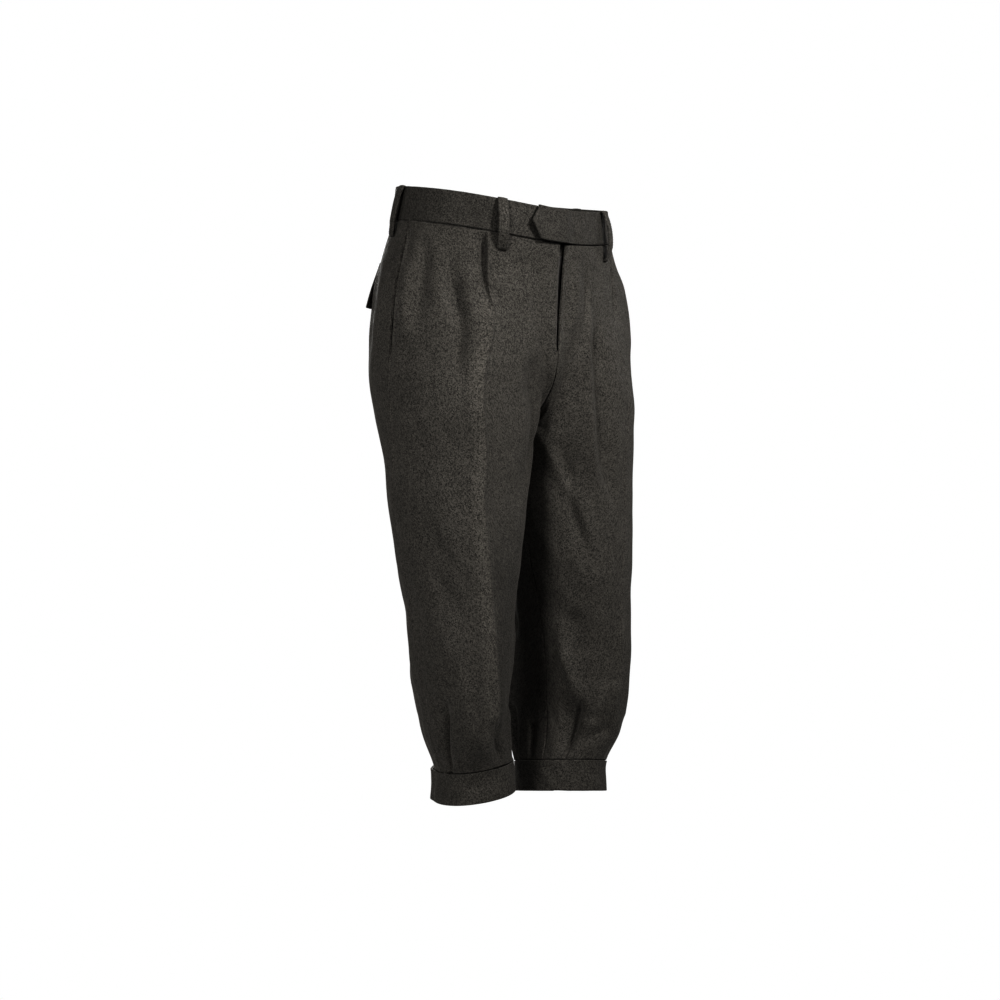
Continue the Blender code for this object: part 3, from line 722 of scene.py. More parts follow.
def pressed_place(half, panel, around, level, breadth):
    """How far each place lies from the pressed crease toward the outseam, and how strong it is there."""
    top_round, low_round, top, low = PRESSED[half, panel][:4]
    place = top_round + (low_round - top_round) * (top - level) / (top - low)
    fade = ease((top - level) / PRESSED_FADE) * ease((level - low) / PRESSED_FADE)
    toward = 1.0 if panel == "front" else -1.0
    return toward * (around - place) * breadth, fade


def pressed_height(half, panel, around, level, breadth):
    """Height of the pressed crease, a ridge with a narrow crown and a small step toward the inseam."""
    across, fade = pressed_place(half, panel, around, level, breadth)
    high, wide = PRESSED[half, panel][4:6]
    crown = np.exp(-(np.sqrt(across**2 + PRESSED_CROWN**2) - PRESSED_CROWN) / wide)
    edge = 1.0 - between(across, (-PRESSED_EDGE_FROM - PRESSED_EDGE_WIDE, -PRESSED_EDGE_FROM))
    step = PRESSED_EDGE * edge * np.exp(-np.abs(across) / PRESSED_EDGE_FADE)
    return (high * crown - step * high / PRESSED["right", "front"][4]) * fade


def painted_crease_light(half, panel, around, level, breadth):
    """The painted highlight along the pressed crease at each place, less the painted shade low on its inseam
    side.
    """
    across, fade = pressed_place(half, panel, around, level, breadth)
    # Painted highlight: a pale band along the crown of the crease
    band = between(across, CREASE_HIGHLIGHT_STARTS) * (1.0 - between(across, CREASE_HIGHLIGHT_ENDS))
    # Painted shade: the inseam side of the crease is darkened low on the leg
    painted_shade = CREASE_PAINTED_SHADE * between(level, CREASE_SHADE_LEVELS) * between(across, CREASE_SHADE_ACROSS)
    return PRESSED[half, panel][6] * (band - painted_shade) * fade


def pleat_height(around, level, breadth):
    """Height of the waist pleat: cloth that dips toward the lip, and the lip that stands over it."""
    share = np.clip((WAIST_SEAM - level) / (WAIST_SEAM - PLEAT_END), 0.0, 1.0)
    line = PLEAT_TOP_ROUND + (PLEAT_LOW_ROUND - PLEAT_TOP_ROUND) * share
    across = (around - line) * breadth
    dip = -PLEAT_DEPTH * np.exp(-((across / PLEAT_BREADTH) ** 2)) * between(across, (-PLEAT_WALL, PLEAT_FOOT))
    lip = PLEAT_LIP * np.exp(across / PLEAT_LIP_BREADTH) * (1.0 - between(across, (-PLEAT_WALL, 0.0)))
    return (dip + lip) * ease(share / PLEAT_OPENS) * (1.0 - ease(share)) ** PLEAT_CLOSES


def wave_height(across, down, seed):
    """Soft unevenness, from a few long waves at odd angles, at places in millimetres."""
    chance = np.random.default_rng(seed)
    height = np.zeros_like(across)
    for _ in range(WAVES):
        first, second = chance.normal(0.0, 1.0 / WAVE_ACROSS), chance.normal(0.0, 1.0 / WAVE_DOWN)
        height += np.sin(math.tau * (across * first + down * second + chance.random()))
    return height * WAVINESS / math.sqrt(WAVES)


def sway(points):
    """Lean the centre front to the wearer's right, most at the foot of the fly."""
    x, y, z = points[..., 0], points[..., 1], points[..., 2]
    down = ease((WAIST_SEAM - z) / (WAIST_SEAM - FLY_BOTTOM)) * ease((z - CROTCH) / (FLY_BOTTOM - CROTCH))
    lean = FLY_SWAY * down * ease(-y / FLY_SWAY_DEPTH) * (1.0 - ease(np.abs(x) / FLY_SWAY_REACH))
    return np.stack([x - lean, y, z], axis=-1)


def on_side(points, half):
    """Turn x outward into the frame's x."""
    return sway(points * np.array([-1.0 if half == "right" else 1.0, 1.0, 1.0]))


# ---------------------------------------------------------------- materials
def new_group(name, inputs, outputs):
    """An empty shader group with its inputs (name, kind, default) and outputs (name, kind)."""
    group = bpy.data.node_groups.new(name, "ShaderNodeTree")
    for label, kind, value in inputs:
        socket = group.interface.new_socket(label, in_out="INPUT", socket_type=kind)
        socket.default_value = value
    for label, kind in outputs:
        group.interface.new_socket(label, in_out="OUTPUT", socket_type=kind)
    return group, group.nodes.new("NodeGroupInput"), group.nodes.new("NodeGroupOutput")


def feed(tree, node, inputs):
    """Set a node's inputs to numbers or colours, or link them from other nodes' sockets."""
    for socket, value in inputs.items():
        if isinstance(value, bpy.types.NodeSocket):
            tree.links.new(value, node.inputs[socket])
        else:
            node.inputs[socket].default_value = value


def add_node(tree, kind, inputs, **settings):
    """A new shader node with its settings, fed through its inputs."""
    node = tree.nodes.new(kind)
    for setting, value in settings.items():
        setattr(node, setting, value)
    feed(tree, node, inputs)
    return node


def noise(tree, place, scale, detail):
    """A noise texture at a place, as its plain factor."""
    inputs = {"Vector": place, "Scale": scale, "Detail": detail, "Roughness": NOISE_ROUGHNESS}
    return add_node(tree, "ShaderNodeTexNoise", inputs).outputs["Fac"]


def stretched(tree, place, scale):
    """A place scaled along each axis."""
    node = add_node(tree, "ShaderNodeVectorMath", {0: place, 1: scale}, operation="MULTIPLY")
    return node.outputs["Vector"]


def step_between(tree, value, limits, to=(0.0, 1.0)):
    """A value spread from its own limits to other ones."""
    inputs = {"Value": value, "From Min": limits[0], "From Max": limits[1], "To Min": to[0], "To Max": to[1]}
    return add_node(tree, "ShaderNodeMapRange", inputs).outputs["Result"]


def mixed(tree, share, first, second):
    """A colour mixed from first to second by share."""
    return add_node(tree, "ShaderNodeMix", {0: share, 6: first, 7: second}, data_type="RGBA").outputs[2]


def product(tree, first, second):
    """A value times another value or a number."""
    return add_node(tree, "ShaderNodeMath", {0: first, 1: second}, operation="MULTIPLY").outputs[0]


def total(tree, first, second):
    """Two values added."""
    return add_node(tree, "ShaderNodeMath", {0: first, 1: second}, operation="ADD").outputs[0]


def heathered_wool_group():
    """Dark and light fibres spun together, a milled twill beneath them, and a few pale flecks."""
    colours = (("Dark Fibre", WOOL_DARK), ("Light Fibre", WOOL_LIGHT), ("Fleck", WOOL_FLECK))
    inputs = [(label, "NodeSocketColor", (*colour, 1.0)) for label, colour in colours]
    inputs.append(("Fleck Share", "NodeSocketFloat", 0.35))
    outputs = [("Color", "NodeSocketColor"), ("Roughness", "NodeSocketFloat"), ("Height", "NodeSocketFloat")]
    group, given, put_out = new_group("heathered_wool", inputs, outputs)
    in_mm = stretched(group, group.nodes.new("ShaderNodeTexCoord").outputs["UV"], (1.0 / MM, 1.0 / MM, 0.0))
    # Tufts and fibres weigh the same in the heather
    tufts = add_node(group, "ShaderNodeTexVoronoi", {"Vector": in_mm, "Scale": TUFT_SCALE}).outputs["Color"]
    fibres = noise(group, stretched(group, in_mm, FIBRE_SCALE), 1.0, 2.0)
    heather = total(group, product(group, tufts, 0.5), product(group, fibres, 0.5))
    share = step_between(group, heather, HEATHER)
    colour = mixed(group, share, given.outputs["Dark Fibre"], given.outputs["Light Fibre"])
    specks = step_between(group, noise(group, stretched(group, in_mm, SPECK_SCALE), 1.0, 1.0), SPECKS)
    fleck = product(group, specks, given.outputs["Fleck Share"])
    colour = mixed(group, fleck, colour, given.outputs["Fleck"])
    # Long soft clouds of shade, and the painted highlight and painted shade of the pressed creases
    clouds = step_between(group, noise(group, in_mm, CLOUD_SCALE, 2.0), CLOUDS, CLOUD_SHADE)
    # The crease's painted highlight and painted shade, stored on each panel's corners as the pressed
    # attribute
    pressed = add_node(group, "ShaderNodeAttribute", {}, attribute_name="pressed").outputs["Fac"]
    shaded = {"Color": colour, "Value": total(group, clouds, pressed)}
    twill = add_node(group, "ShaderNodeTexWave", {"Vector": in_mm, **TWILL}, bands_direction="DIAGONAL")
    weave = product(group, twill.outputs["Fac"], TWILL_HEIGHT)
    height = total(group, weave, product(group, fibres, FIBRE_HEIGHT))
    feed(group, put_out, {
        "Color": add_node(group, "ShaderNodeHueSaturation", shaded).outputs["Color"],
        "Roughness": step_between(group, share, (0.0, 1.0), WOOL_ROUGHNESS),
        "Height": height,
    })
    return group


def plain_material(name, colour, roughness):
    """A material with its shader's own sockets set."""
    material = bpy.data.materials.new(name)
    material.use_nodes = True
    shader = material.node_tree.nodes["Principled BSDF"]
    feed(material.node_tree, shader, {"Base Color": (*colour, 1.0), "Roughness": roughness})
    return material, shader


def wool_material(name, group, dark, light, fleck_share, nap):
    """Milled wool: heathered colour, a soft bump, and a nap that catches the light at its edges."""
    material, shader = plain_material(name, dark, WOOL_ROUGHNESS[0])
    tree = material.node_tree
    fibres = {"Dark Fibre": (*dark, 1.0), "Light Fibre": (*light, 1.0), "Fleck Share": fleck_share}
    wool = add_node(tree, "ShaderNodeGroup", {}, node_tree=group)
    feed(tree, wool, fibres)
    relief = {"Height": wool.outputs["Height"], "Strength": WOOL_BUMP, "Distance": WOOL_RELIEF * MM}
    feed(tree, shader, {
        "Normal": add_node(tree, "ShaderNodeBump", relief).outputs["Normal"],
        "Base Color": wool.outputs["Color"],
        "Roughness": wool.outputs["Roughness"],
        "Specular IOR Level": 0.38,
        "Specular Tint": (1.0, 0.94, 0.86, 1.0),
        "Sheen Weight": nap,
        "Sheen Roughness": 0.55,
        "Sheen Tint": (0.80, 0.76, 0.70, 1.0),
    })
    return material


def grain_of(tree, scale, detail):
    """A fine grain through a solid, at a scale for each millimetre."""
    place = tree.nodes.new("ShaderNodeTexCoord").outputs["Object"]
    return noise(tree, stretched(tree, place, (1.0 / MM, 1.0 / MM, 1.0 / MM)), scale, detail)


def thread_material():
    """Tonal sewing thread, with the turns of its plies."""
    material, shader = plain_material("sewing_thread", THREAD_COLOUR, 0.6)
    tree = material.node_tree
    plies = step_between(tree, grain_of(tree, 2.2, 1.0), (0.4, 0.7))
    colour = mixed(tree, plies, (*THREAD_COLOUR, 1.0), (*WOOL_LIGHT, 1.0))
    feed(tree, shader, {"Base Color": colour, "Sheen Weight": 0.2})
    return material


def zip_material(name, colour, roughness, scale):
    """Dark zip parts, with a fine grain in their colour and surface."""
    material, shader = plain_material(name, colour, roughness)
    tree = material.node_tree
    grain = grain_of(tree, scale, 2.0)
    tint = {"Color": (*colour, 1.0), "Value": step_between(tree, grain, (0.3, 0.7), (0.7, 1.3))}
    feed(tree, shader, {
        "Base Color": add_node(tree, "ShaderNodeHueSaturation", tint).outputs["Color"],
        "Roughness": step_between(tree, grain, (0.0, 1.0), (roughness - 0.1, roughness + 0.1)),
    })
    return material


def to_the_eye(tree, as_lit, as_seen):
    """One shader for the light that falls on things, and another for what the eye sees."""
    rays = tree.nodes.new("ShaderNodeLightPath").outputs["Is Camera Ray"]
    return add_node(tree, "ShaderNodeMixShader", {"Fac": rays, 1: as_lit, 2: as_seen}).outputs["Shader"]


def stage_material():
    """Plain pale paper: white to the eye, and clear from below so that it never hides the breeches."""
    material, shader = plain_material("pale_paper", PAPER, 0.9)
    tree = material.node_tree
    grain = noise(tree, tree.nodes.new("ShaderNodeTexCoord").outputs["Object"], 40.0, 2.0)
    feed(tree, shader, {"Roughness": step_between(tree, grain, (0.0, 1.0), (0.86, 0.94))})
    white = tree.nodes.new("ShaderNodeEmission").outputs["Emission"]
    clear = tree.nodes.new("ShaderNodeBsdfTransparent").outputs["BSDF"]
    below = tree.nodes.new("ShaderNodeNewGeometry").outputs["Backfacing"]
    paper = to_the_eye(tree, shader.outputs["BSDF"], white)
    from_below = add_node(tree, "ShaderNodeMixShader", {"Fac": below, 1: paper, 2: clear})
    feed(tree, tree.nodes["Material Output"], {"Surface": from_below.outputs["Shader"]})
    return material


# ---------------------------------------------------------------- making objects
def make_mesh(name, corners, faces, material, uvs=None):
    """A smooth mesh object at the origin, with a UV for each of its corners."""
    mesh = bpy.data.meshes.new(name)
    mesh.from_pydata((corners * MM).tolist(), [], faces)
    if uvs is not None:
        layer = mesh.uv_layers.new(name="laid_out")
        index = np.empty(len(mesh.loops), dtype=np.int32)
        mesh.loops.foreach_get("vertex_index", index)
        layer.data.foreach_set("uv", (uvs[index] * MM).astype(np.float32).ravel())
    mesh.shade_smooth()
    mesh.materials.append(material)
    piece = bpy.data.objects.new(name, mesh)
    bpy.context.scene.collection.objects.link(piece)
    return piece


def grid_faces(rows, columns, flip):
    """Quads of a grid, facing out."""
    first = np.arange(rows - 1)[:, None] * columns + np.arange(columns - 1)[None, :]
    first = first.ravel()
    quads = np.stack([first, first + columns, first + columns + 1, first + 1], axis=-1)
    return (quads[:, ::-1] if flip else quads).tolist()


def sheet_of_cloth(node, grid, thick, material, half="", name="", out=False):
    """A piece of cloth through a grid of outer points.

    Where a half is given, the grid has x outward and is turned to that half here.
    """
    if half:
        grid = on_side(grid, half)
    along, down = laid_out(grid)
    # The weave is true to the grain in the middle of the piece
    middle = (grid.shape[1] - 1) // 2
    uvs = np.stack([along - along[:, middle, None], -down], axis=-1).reshape(-1, 2)
    faces = grid_faces(*grid.shape[:2], flip=half == "right")
    piece = make_mesh(name or f"{node}_cloth", grid.reshape(-1, 3), faces, material, uvs)
    wall = piece.modifiers.new("wall", "SOLIDIFY")
    wall.thickness = thick * MM
    wall.offset = 1.0 if out else -1.0
    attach(piece, "root")
    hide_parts(node)
    return piece


def store_painted_crease_light(piece, pale):
    """Store the crease's painted highlight and painted shade at each corner of a panel, but not its
    allowances.
    """
    mark = piece.data.attributes.new("pressed", "FLOAT", "POINT")
    mark.data.foreach_set("value", np.pad(pale, 2).astype(np.float32).ravel())


def at_place(grid, row, column):
    """Points and outward directions on a grid at fractional rows and columns."""
    direction = outward(grid)
    row = np.clip(row, 0, grid.shape[0] - 1.001)
    column = np.clip(column, 0, grid.shape[1] - 1.001)
    r, c = row.astype(int), column.astype(int)
    fr, fc = (row - r)[:, None], (column - c)[:, None]

    def blend(values):
        top = values[r, c] * (1 - fc) + values[r, c + 1] * fc
        low = values[r + 1, c] * (1 - fc) + values[r + 1, c + 1] * fc
        return top * (1 - fr) + low * fr

    return blend(grid), blend(direction)


def run_along(path):
    """How far along a path each of its points lies."""
    return np.concatenate([[0.0], np.cumsum(np.linalg.norm(np.diff(path, axis=0), axis=1))])


def on_path(places, run, values):
    """A path's points or directions at places along it."""
    return np.stack([np.interp(places, run, values[:, i]) for i in range(3)], axis=-1)


def ring_faces(rings, sides):
    """Faces of a closed bar made of rings of corners."""
    faces = []
    for ring in range(rings - 1):
        for k in range(sides):
            a, b = ring * sides + k, ring * sides + (k + 1) % sides
            faces.append((a, b, b + sides, a + sides))
    faces.append(tuple(reversed(range(sides))))
    faces.append(tuple((rings - 1) * sides + k for k in range(sides)))
    return faces


def joined(blocks):
    """Corners and faces of several blocks as one."""
    corners, faces, count = [], [], 0
    for block, block_faces in blocks:
        corners.append(block)
        faces += [tuple(corner + count for corner in face) for face in block_faces]
        count += len(block)
    return np.concatenate(corners), faces


def stitches(path, direction, space=STITCH_SPACE):
    """Corners and faces of a row of stitches along a path of points with outward directions."""
    run = run_along(path)
    places, sunk, wide = np.array(STITCH_RINGS).T
    sunk, radius = sunk * THREAD, wide * THREAD / 2
    turn = np.arange(THREAD_SIDES) * math.tau / THREAD_SIDES
    faces = ring_faces(len(STITCH_RINGS), THREAD_SIDES)
    blocks = []
    for start in np.arange(0.0, run[-1] - STITCH, STITCH + space):
        ends = start + places * STITCH
        middle, out = on_path(ends, run, path), on_path(ends, run, direction)
        ahead = middle[-1] - middle[0]
        ahead /= max(np.linalg.norm(ahead), 1e-9)
        side = np.cross(out, ahead)
        ring = (
            middle[:, None]
            + out[:, None] * (sunk[:, None] + radius[:, None] * np.sin(turn))[..., None]
            + side[:, None] * (radius[:, None] * np.cos(turn))[..., None]
        )
        blocks.append((ring.reshape(-1, 3), faces))
    return joined(blocks)


def stitches_on(half, path, **how):
    """A row of stitches along a path given with x outward, turned to its half."""
    corners, faces = stitches(*path, **how)
    if half == "right":
        faces = [face[::-1] for face in faces]
    return on_side(corners, half), faces


def sewing(name, rows, material):
    """Several rows of stitches joined into one piece."""
    piece = make_mesh(name, *joined(rows), material)
    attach(piece, "root")


# ---------------------------------------------------------------- panels
def panel_levels():
    """Levels of a panel's rows, crowded at the seams, the fork and the knee tucks."""
    top, low = WAIST_SEAM - SEAM_SHOWS, KNEE_SEAM + KNEE_SEAM_SHOWS
    return crowded_at_ends(top, low, PANEL_ROWS, 3.0, 6.0, (CROTCH, 16.0, 2.5), (KNEE_TUCKS, 40.0, 0.8))


def centre_breadth(half, level):
    """How wide the cloth is near the centre front, for each whole round."""
    reach = half_point(half, NEAR_CENTRE, level)[..., 0]
    return np.maximum(reach / NEAR_CENTRE, LEAST_BREADTH_AT_CENTRE)


def centre_edge(half, level):
    """How far the front's centre edge stands from the middle, in millimetres."""
    if half == "right":
        return FLY_EDGE_RIGHT * ease((level - FLY_BOTTOM) / FLY_SHUTS_OVER)
    opened = np.clip((level - FLY_BOTTOM) / (WAIST_SEAM - FLY_BOTTOM), 0.0, 1.0)
    return FLY_EDGE_LEFT * opened**FLY_EDGE_CURVE


def panel_points(half, panel, around, level, lift):
    """Outer points of a panel with its folds, creases and welts, x outward, and the painted highlight and
    shade of each.
    """
    flat = soft_point(half, around, level)
    row_length = np.linalg.norm(np.diff(flat, axis=1), axis=-1).sum(axis=1)
    breadth = row_length / (around[:, -1] - around[:, 0])
    # Evened out down the panel, so that no fold swerves where the fork widens the cloth
    near = np.exp(-(((level[:, :1] - level[:, 0]) / BREADTH_EVENED_OVER) ** 2))
    near *= np.abs(np.gradient(level[:, 0]))
    breadth = (near @ breadth / near.sum(axis=1))[:, None]
    height = fold_height(half, panel, around, level, breadth)
    height += pressed_height(half, panel, around, level, breadth)
    height += wave_height(around * ROUND_OF_CLOTH, level, PANEL_SEED[half])
    if panel == "front":
        height += pleat_height(around, level, breadth)
        to_seam = (around[:, -1:] - around) * breadth
        height += SEAM_WELT * (1.0 - between(to_seam, (SEAM_WELT_WIDE - SEAM_WELT_STEP, SEAM_WELT_WIDE)))
    points = flat + outward(flat) * (height + lift)[..., None]
    points[..., 0] = np.maximum(points[..., 0], CENTRE_EDGE)
    return rolled(points, PANEL_ROLL), painted_crease_light(half, panel, around, level, breadth)


def hung_panel(half, panel, around, level, lift, first, last, wool):
    """A panel of one half, hung from its waistband, with the side allowances that lapped takes."""
    grid, pale = panel_points(half, panel, around, level, lift)
    sewn = turned_in(lapped(grid, first, last))
    store_painted_crease_light(sheet_of_cloth(f"{panel}_{half}", sewn, CLOTH, wool, half), pale)
    return grid, around, level


def front_panel(half, wool):
    """From the fly edge and the inseam to the outseam, with its pleat, creases and pocket mouth."""
    dense = ((0.0, 0.012, 5.0), (1.0, 0.014, 5.0), (PLEAT_TOP_ROUND, 0.03, 3.0))
    columns = crowded(0.0, 1.0, FRONT_COLUMNS, *dense)
    level, column = filled(panel_levels()[:, None], columns)
    first = (centre_edge(half, level) + CENTRE_EDGE) / centre_breadth(half, level)
    mouth = ease((level - POCKET_BOTTOM) / POCKET_SHUTS_OVER) * ease((POCKET_TOP - level) / POCKET_OPENS_OVER)
    last = 1.0 - (EDGE + mouth * POCKET_MOUTH) / ROUND_OF_CLOTH
    around = first + (last - first) * column
    lift = POCKET_LIFT * mouth * between(around, (POCKET_LIFTS_FROM, 1.0))
    # Below the fly the right front passes behind the left one
    down = level[:, 0]
    centre = between(-down, (LAP_BELOW_FLY, LAP_BELOW_FLY + LAP_GROWS_OVER))
    centre *= between(down, (CROTCH, CROTCH + LAP_GROWS_OVER))
    no_lap = np.zeros_like(down)
    return hung_panel(half, "front", around, level, lift, centre if half == "right" else no_lap, no_lap, wool)


def back_panel(half, wool):
    """From the outseam to the centre back and the inseam."""
    columns = crowded_at_ends(0.0, 1.0, BACK_COLUMNS, 0.014, 5.0, (0.5, 0.03, 2.0))
    level, column = filled(panel_levels()[:, None], columns)
    edges = (EDGE + CENTRE_EDGE) / ROUND_OF_CLOTH
    around = 1.0 + EDGE / ROUND_OF_CLOTH + (1.0 - edges) * column
    # Each back passes behind its front below the pocket, and the right back behind the left one
    down = level[:, 0]
    outseam = between(-down, (-FACING_BOTTOM - LAP_GROWS_OVER, -FACING_BOTTOM))
    above_crotch = between(-down, (-CROTCH - LAP_GROWS_OVER, -CROTCH))
    centre = np.ones_like(down) if half == "right" else above_crotch
    hung_panel(half, "back", around, level, np.zeros_like(level), outseam, centre, wool)


# ---------------------------------------------------------------- bands, loops and flaps
def band_grid(degrees, level, stand):
    """Points of the waist's ring at signed angles from the front, moved out by stand."""
    angle = np.radians(degrees)
    x, y = body_point(angle, level)
    grid = np.stack([x, y, level + waist_tilt(angle, level)], axis=-1)
    return grid + outward(grid) * filled(stand, level)[0][..., None]


def band_levels(top, low):
    """Levels of a band's rows, crowded at its edges."""
    return crowded_at_ends(top, low, BAND_ROWS, 2.0, 5.0)


def band_waves(degrees, level, seed):
    """The waistband's own soft unevenness, none of it at the band's edges."""
    height = wave_height(degrees * MM_EACH_DEGREE, level * BAND_WAVES_DOWN, seed)
    return WAISTBAND_WAVES * height * (1.0 - (level / WAISTBAND_TOP) ** 2)


def waistband(half, degrees, level, lift, wool):
    """Half of the waistband, stretched round the waist at signed angles and lifted off it."""
    stand = BAND_STAND + lift + band_waves(degrees, level, WAISTBAND_SEED[half])
    grid = rolled(band_grid(degrees, level, stand), BAND_ROLL)
    sheet_of_cloth(f"waistband_{half}", grid, BAND_CLOTH, wool)


def waistband_right(wool):
    """From the centre back round the wearer's right to the centre front."""
    columns = crowded_at_ends(BAND_BACK_EDGE - 180.0, -BAND_RIGHT_END, BAND_COLUMNS, 1.0, 5.0)
    level, degrees = filled(band_levels(WAISTBAND_TOP, WAIST_SEAM)[:, None], columns)
    waistband("right", degrees, level, 0.0, wool)


def waistband_left(wool):
    """From a pointed tab that laps the right half, round the wearer's left to the centre back."""
    columns = crowded(0.0, 1.0, TABBED_BAND_COLUMNS, (0.0, 0.01, 6.0), (1.0, 0.006, 5.0), (0.2, 0.1, 0.6))
    level, share = filled(band_levels(WAISTBAND_TOP, WAIST_SEAM)[:, None], columns)
    point = 1.0 - np.abs(level) / WAISTBAND_TOP
    start = -(TAB_CORNER + (TAB_TIP - TAB_CORNER) * point)
    degrees = start + (180.0 - BAND_BACK_EDGE - start) * share**TAB_CROWDING
    curl = TAB_CURL * (1.0 - between(degrees, (-TAB_TIP, TAB_CURL_END)))
    lap = TAB_RISE * (1.0 - between(degrees, TAB_CLIMB))
    waistband("left", degrees, level, lap + curl, wool)


def belt_loop(name, top, foot, stand_off, wool):
    """A strip that stands off the waistband, sewn down at its top and below the waist seam."""
    edge = LOOP_WIDTH / 2
    rows = crowded_at_ends(LOOP_TOP, LOOP_BOTTOM, LOOP_ROWS, 2.0, 3.0)
    level, across = filled(rows[:, None], crowded_at_ends(-edge, edge, LOOP_COLUMNS, 0.8, 3.0))
    share = (LOOP_TOP - level) / (LOOP_TOP - LOOP_BOTTOM)
    radius = (smooth_column(BODY, 1, level) + smooth_column(BODY, 2, level)) / 2
    seat = SEAM_GAP + BAND_STAND * (1.0 - between(share, LOOP_STEPS_DOWN))
    stand = seat + stand_off * np.clip(np.sin(math.pi * share), 0.0, 1.0) ** LOOP_ROUNDNESS
    degrees = top + (foot - top) * share + np.degrees(across / radius)
    # A strip folded in three is a little fuller down its middle
    fuller = LOOP_FULLER * np.cos(math.pi * across / LOOP_WIDTH)
    grid = band_grid(degrees, level, stand)
    grid = rolled(grid + outward(grid) * (LOOP_CLOTH + fuller)[..., None], STRIP_ROLL)
    sheet_of_cloth(f"belt_loop_{name}", grid, LOOP_CLOTH, wool)
    return grid


def back_flap(half, wool):
    """A pocket flap that hangs from its top edge and stands off the seat at its foot."""
    rows = crowded_at_ends(FLAP_TOP, FLAP_BOTTOM, FLAP_ROWS, 2.0, 4.0)
    level, degrees = filled(rows[:, None], crowded_at_ends(FLAP_FROM, FLAP_TO, FLAP_COLUMNS, 1.0, 4.0))
    hang = (FLAP_TOP - level) / (FLAP_TOP - FLAP_BOTTOM)
    grid = band_grid(degrees, level, SEAM_GAP + CLOTH + FLAP_LIFT * hang**FLAP_CURVE)
    grid = rolled(grid, STRIP_ROLL)
    sheet_of_cloth(f"back_pocket_flap_{half}", grid, CLOTH, wool, half)
    return grid


def knee_band(half, wool):
    """A strip right round the leg, whose end laps its start at the outer back."""
    columns = crowded_at_ends(0.0, 360.0 + KNEE_LAP, BAND_COLUMNS, 2.0, 4.0, (sum(KNEE_CLIMB) / 2, 12.0, 1.0))
    level, turn = filled(band_levels(KNEE_SEAM, KNEE_HEM)[:, None], columns)
    x, y = leg_point(np.radians(KNEE_LAP_AT + turn), level)
    grid = np.stack([x, y, level + knee_tilt(half, x, y, level)], axis=-1)
    middle = (KNEE_SEAM + KNEE_HEM) / 2
    fade = 1.0 - ((level - middle) / (KNEE_SEAM - middle)) ** 2
    waves = wave_height(turn, level * BAND_WAVES_DOWN, KNEE_BAND_SEED[half]) * fade
    stand = BAND_STAND + KNEE_RISE * between(turn, KNEE_CLIMB) + waves
    grid = rolled(grid + outward(grid) * stand[..., None], KNEE_BAND_ROLL)
    sheet_of_cloth(f"knee_band_{half}", grid, BAND_CLOTH, wool, half)


# ---------------------------------------------------------------- fly and pockets
def fly_strip(levels, across, recess):
    """A strip down the centre front, sunk by a recess."""
    level, across = filled(levels[:, None], across)
    grid = half_point("left", np.abs(across) / centre_breadth("left", level), level)
    grid[..., 0] *= np.sign(across)
    return sway(grid - outward(grid) * recess(across)[..., None])


def underlap_recess(across):
    """How deep the underlap lies, which bends toward the right front."""
    return CLOTH + LAYER_GAP + UNDERLAP_RECESS * between(across, UNDERLAP_BENDS)


def zip_recess(across):
    """How deep the zip lies: on the underlap."""
    return np.full_like(across, CLOTH + LAYER_GAP - SEAM_GAP + UNDERLAP_RECESS)


def fly_underlap(shade):
    """The cloth behind the open fly."""
    levels = np.linspace(UNDERLAP_TOP, UNDERLAP_BOTTOM, FLY_ROWS)
    grid = fly_strip(levels, np.linspace(*UNDERLAP_REACH, UNDERLAP_COLUMNS), underlap_recess)
    sheet_of_cloth("fly_underlap", grid, CLOTH, shade)


def zip_tooth(centre, ahead, side, out):
    """Corners of one rounded tooth."""
    half_side, half_ahead, half_out = ZIP_TOOTH
    block = []
    for lift, shrink in ZIP_TOOTH_RINGS:
        for turn in np.arange(ZIP_TOOTH_SIDES) * math.tau / ZIP_TOOTH_SIDES:
            step = ahead * half_ahead * math.sin(turn) + side * half_side * math.cos(turn)
            block.append(centre + step * shrink + out * half_out * lift)
    return np.array(block)


def zip_chain(tape_material, tooth_material):
    """The woven tape, and the closed chain of teeth down its middle."""
    levels = np.linspace(ZIP_TOP, ZIP_BOTTOM, ZIP_ROWS)
    across = ZIP_MIDDLE + np.linspace(-ZIP_TAPE / 2, ZIP_TAPE / 2, ZIP_COLUMNS)
    grid = fly_strip(levels, across, zip_recess)
    name = "fly_zip_tape"
    sheet_of_cloth("fly_zip", grid, ZIP_TAPE_THICK, tape_material, name=name, out=True)
    out = outward(grid)[:, ZIP_COLUMNS // 2]
    path = grid[:, ZIP_COLUMNS // 2] + out * (ZIP_TAPE_THICK + ZIP_TOOTH_SEAT)
    run = run_along(path)
    faces = ring_faces(len(ZIP_TOOTH_RINGS), ZIP_TOOTH_SIDES)
    ahead = np.array([0.0, 0.0, -1.0])
    teeth = []
    for count, place in enumerate(np.arange(ZIP_CHAIN_INSET, run[-1] - ZIP_CHAIN_INSET, ZIP_TOOTH_PITCH / 2)):
        centre, up = on_path(place, run, path), on_path(place, run, out)
        side = np.cross(up, ahead)
        offset = ZIP_TOOTH_OFFSET if count % 2 else -ZIP_TOOTH_OFFSET
        teeth.append((zip_tooth(centre + side * offset, ahead, side, up), faces))
    piece = make_mesh("fly_zip_teeth", *joined(teeth), tooth_material)
    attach(piece, "root")


def pocket_facing(half, shade):
    """The strip that shows behind the open mouth of a side pocket."""
    rows = np.linspace(FACING_TOP, FACING_BOTTOM, FACING_ROWS)
    columns = np.linspace(1.0 - FACING_REACH, 1.0 + FACING_REACH, FACING_COLUMNS)
    level, around = filled(rows[:, None], columns)
    flat = half_point(half, around, level)
    grid = flat - outward(flat) * FACING_RECESS
    sheet_of_cloth(f"pocket_facing_{half}", grid, CLOTH, shade, half)


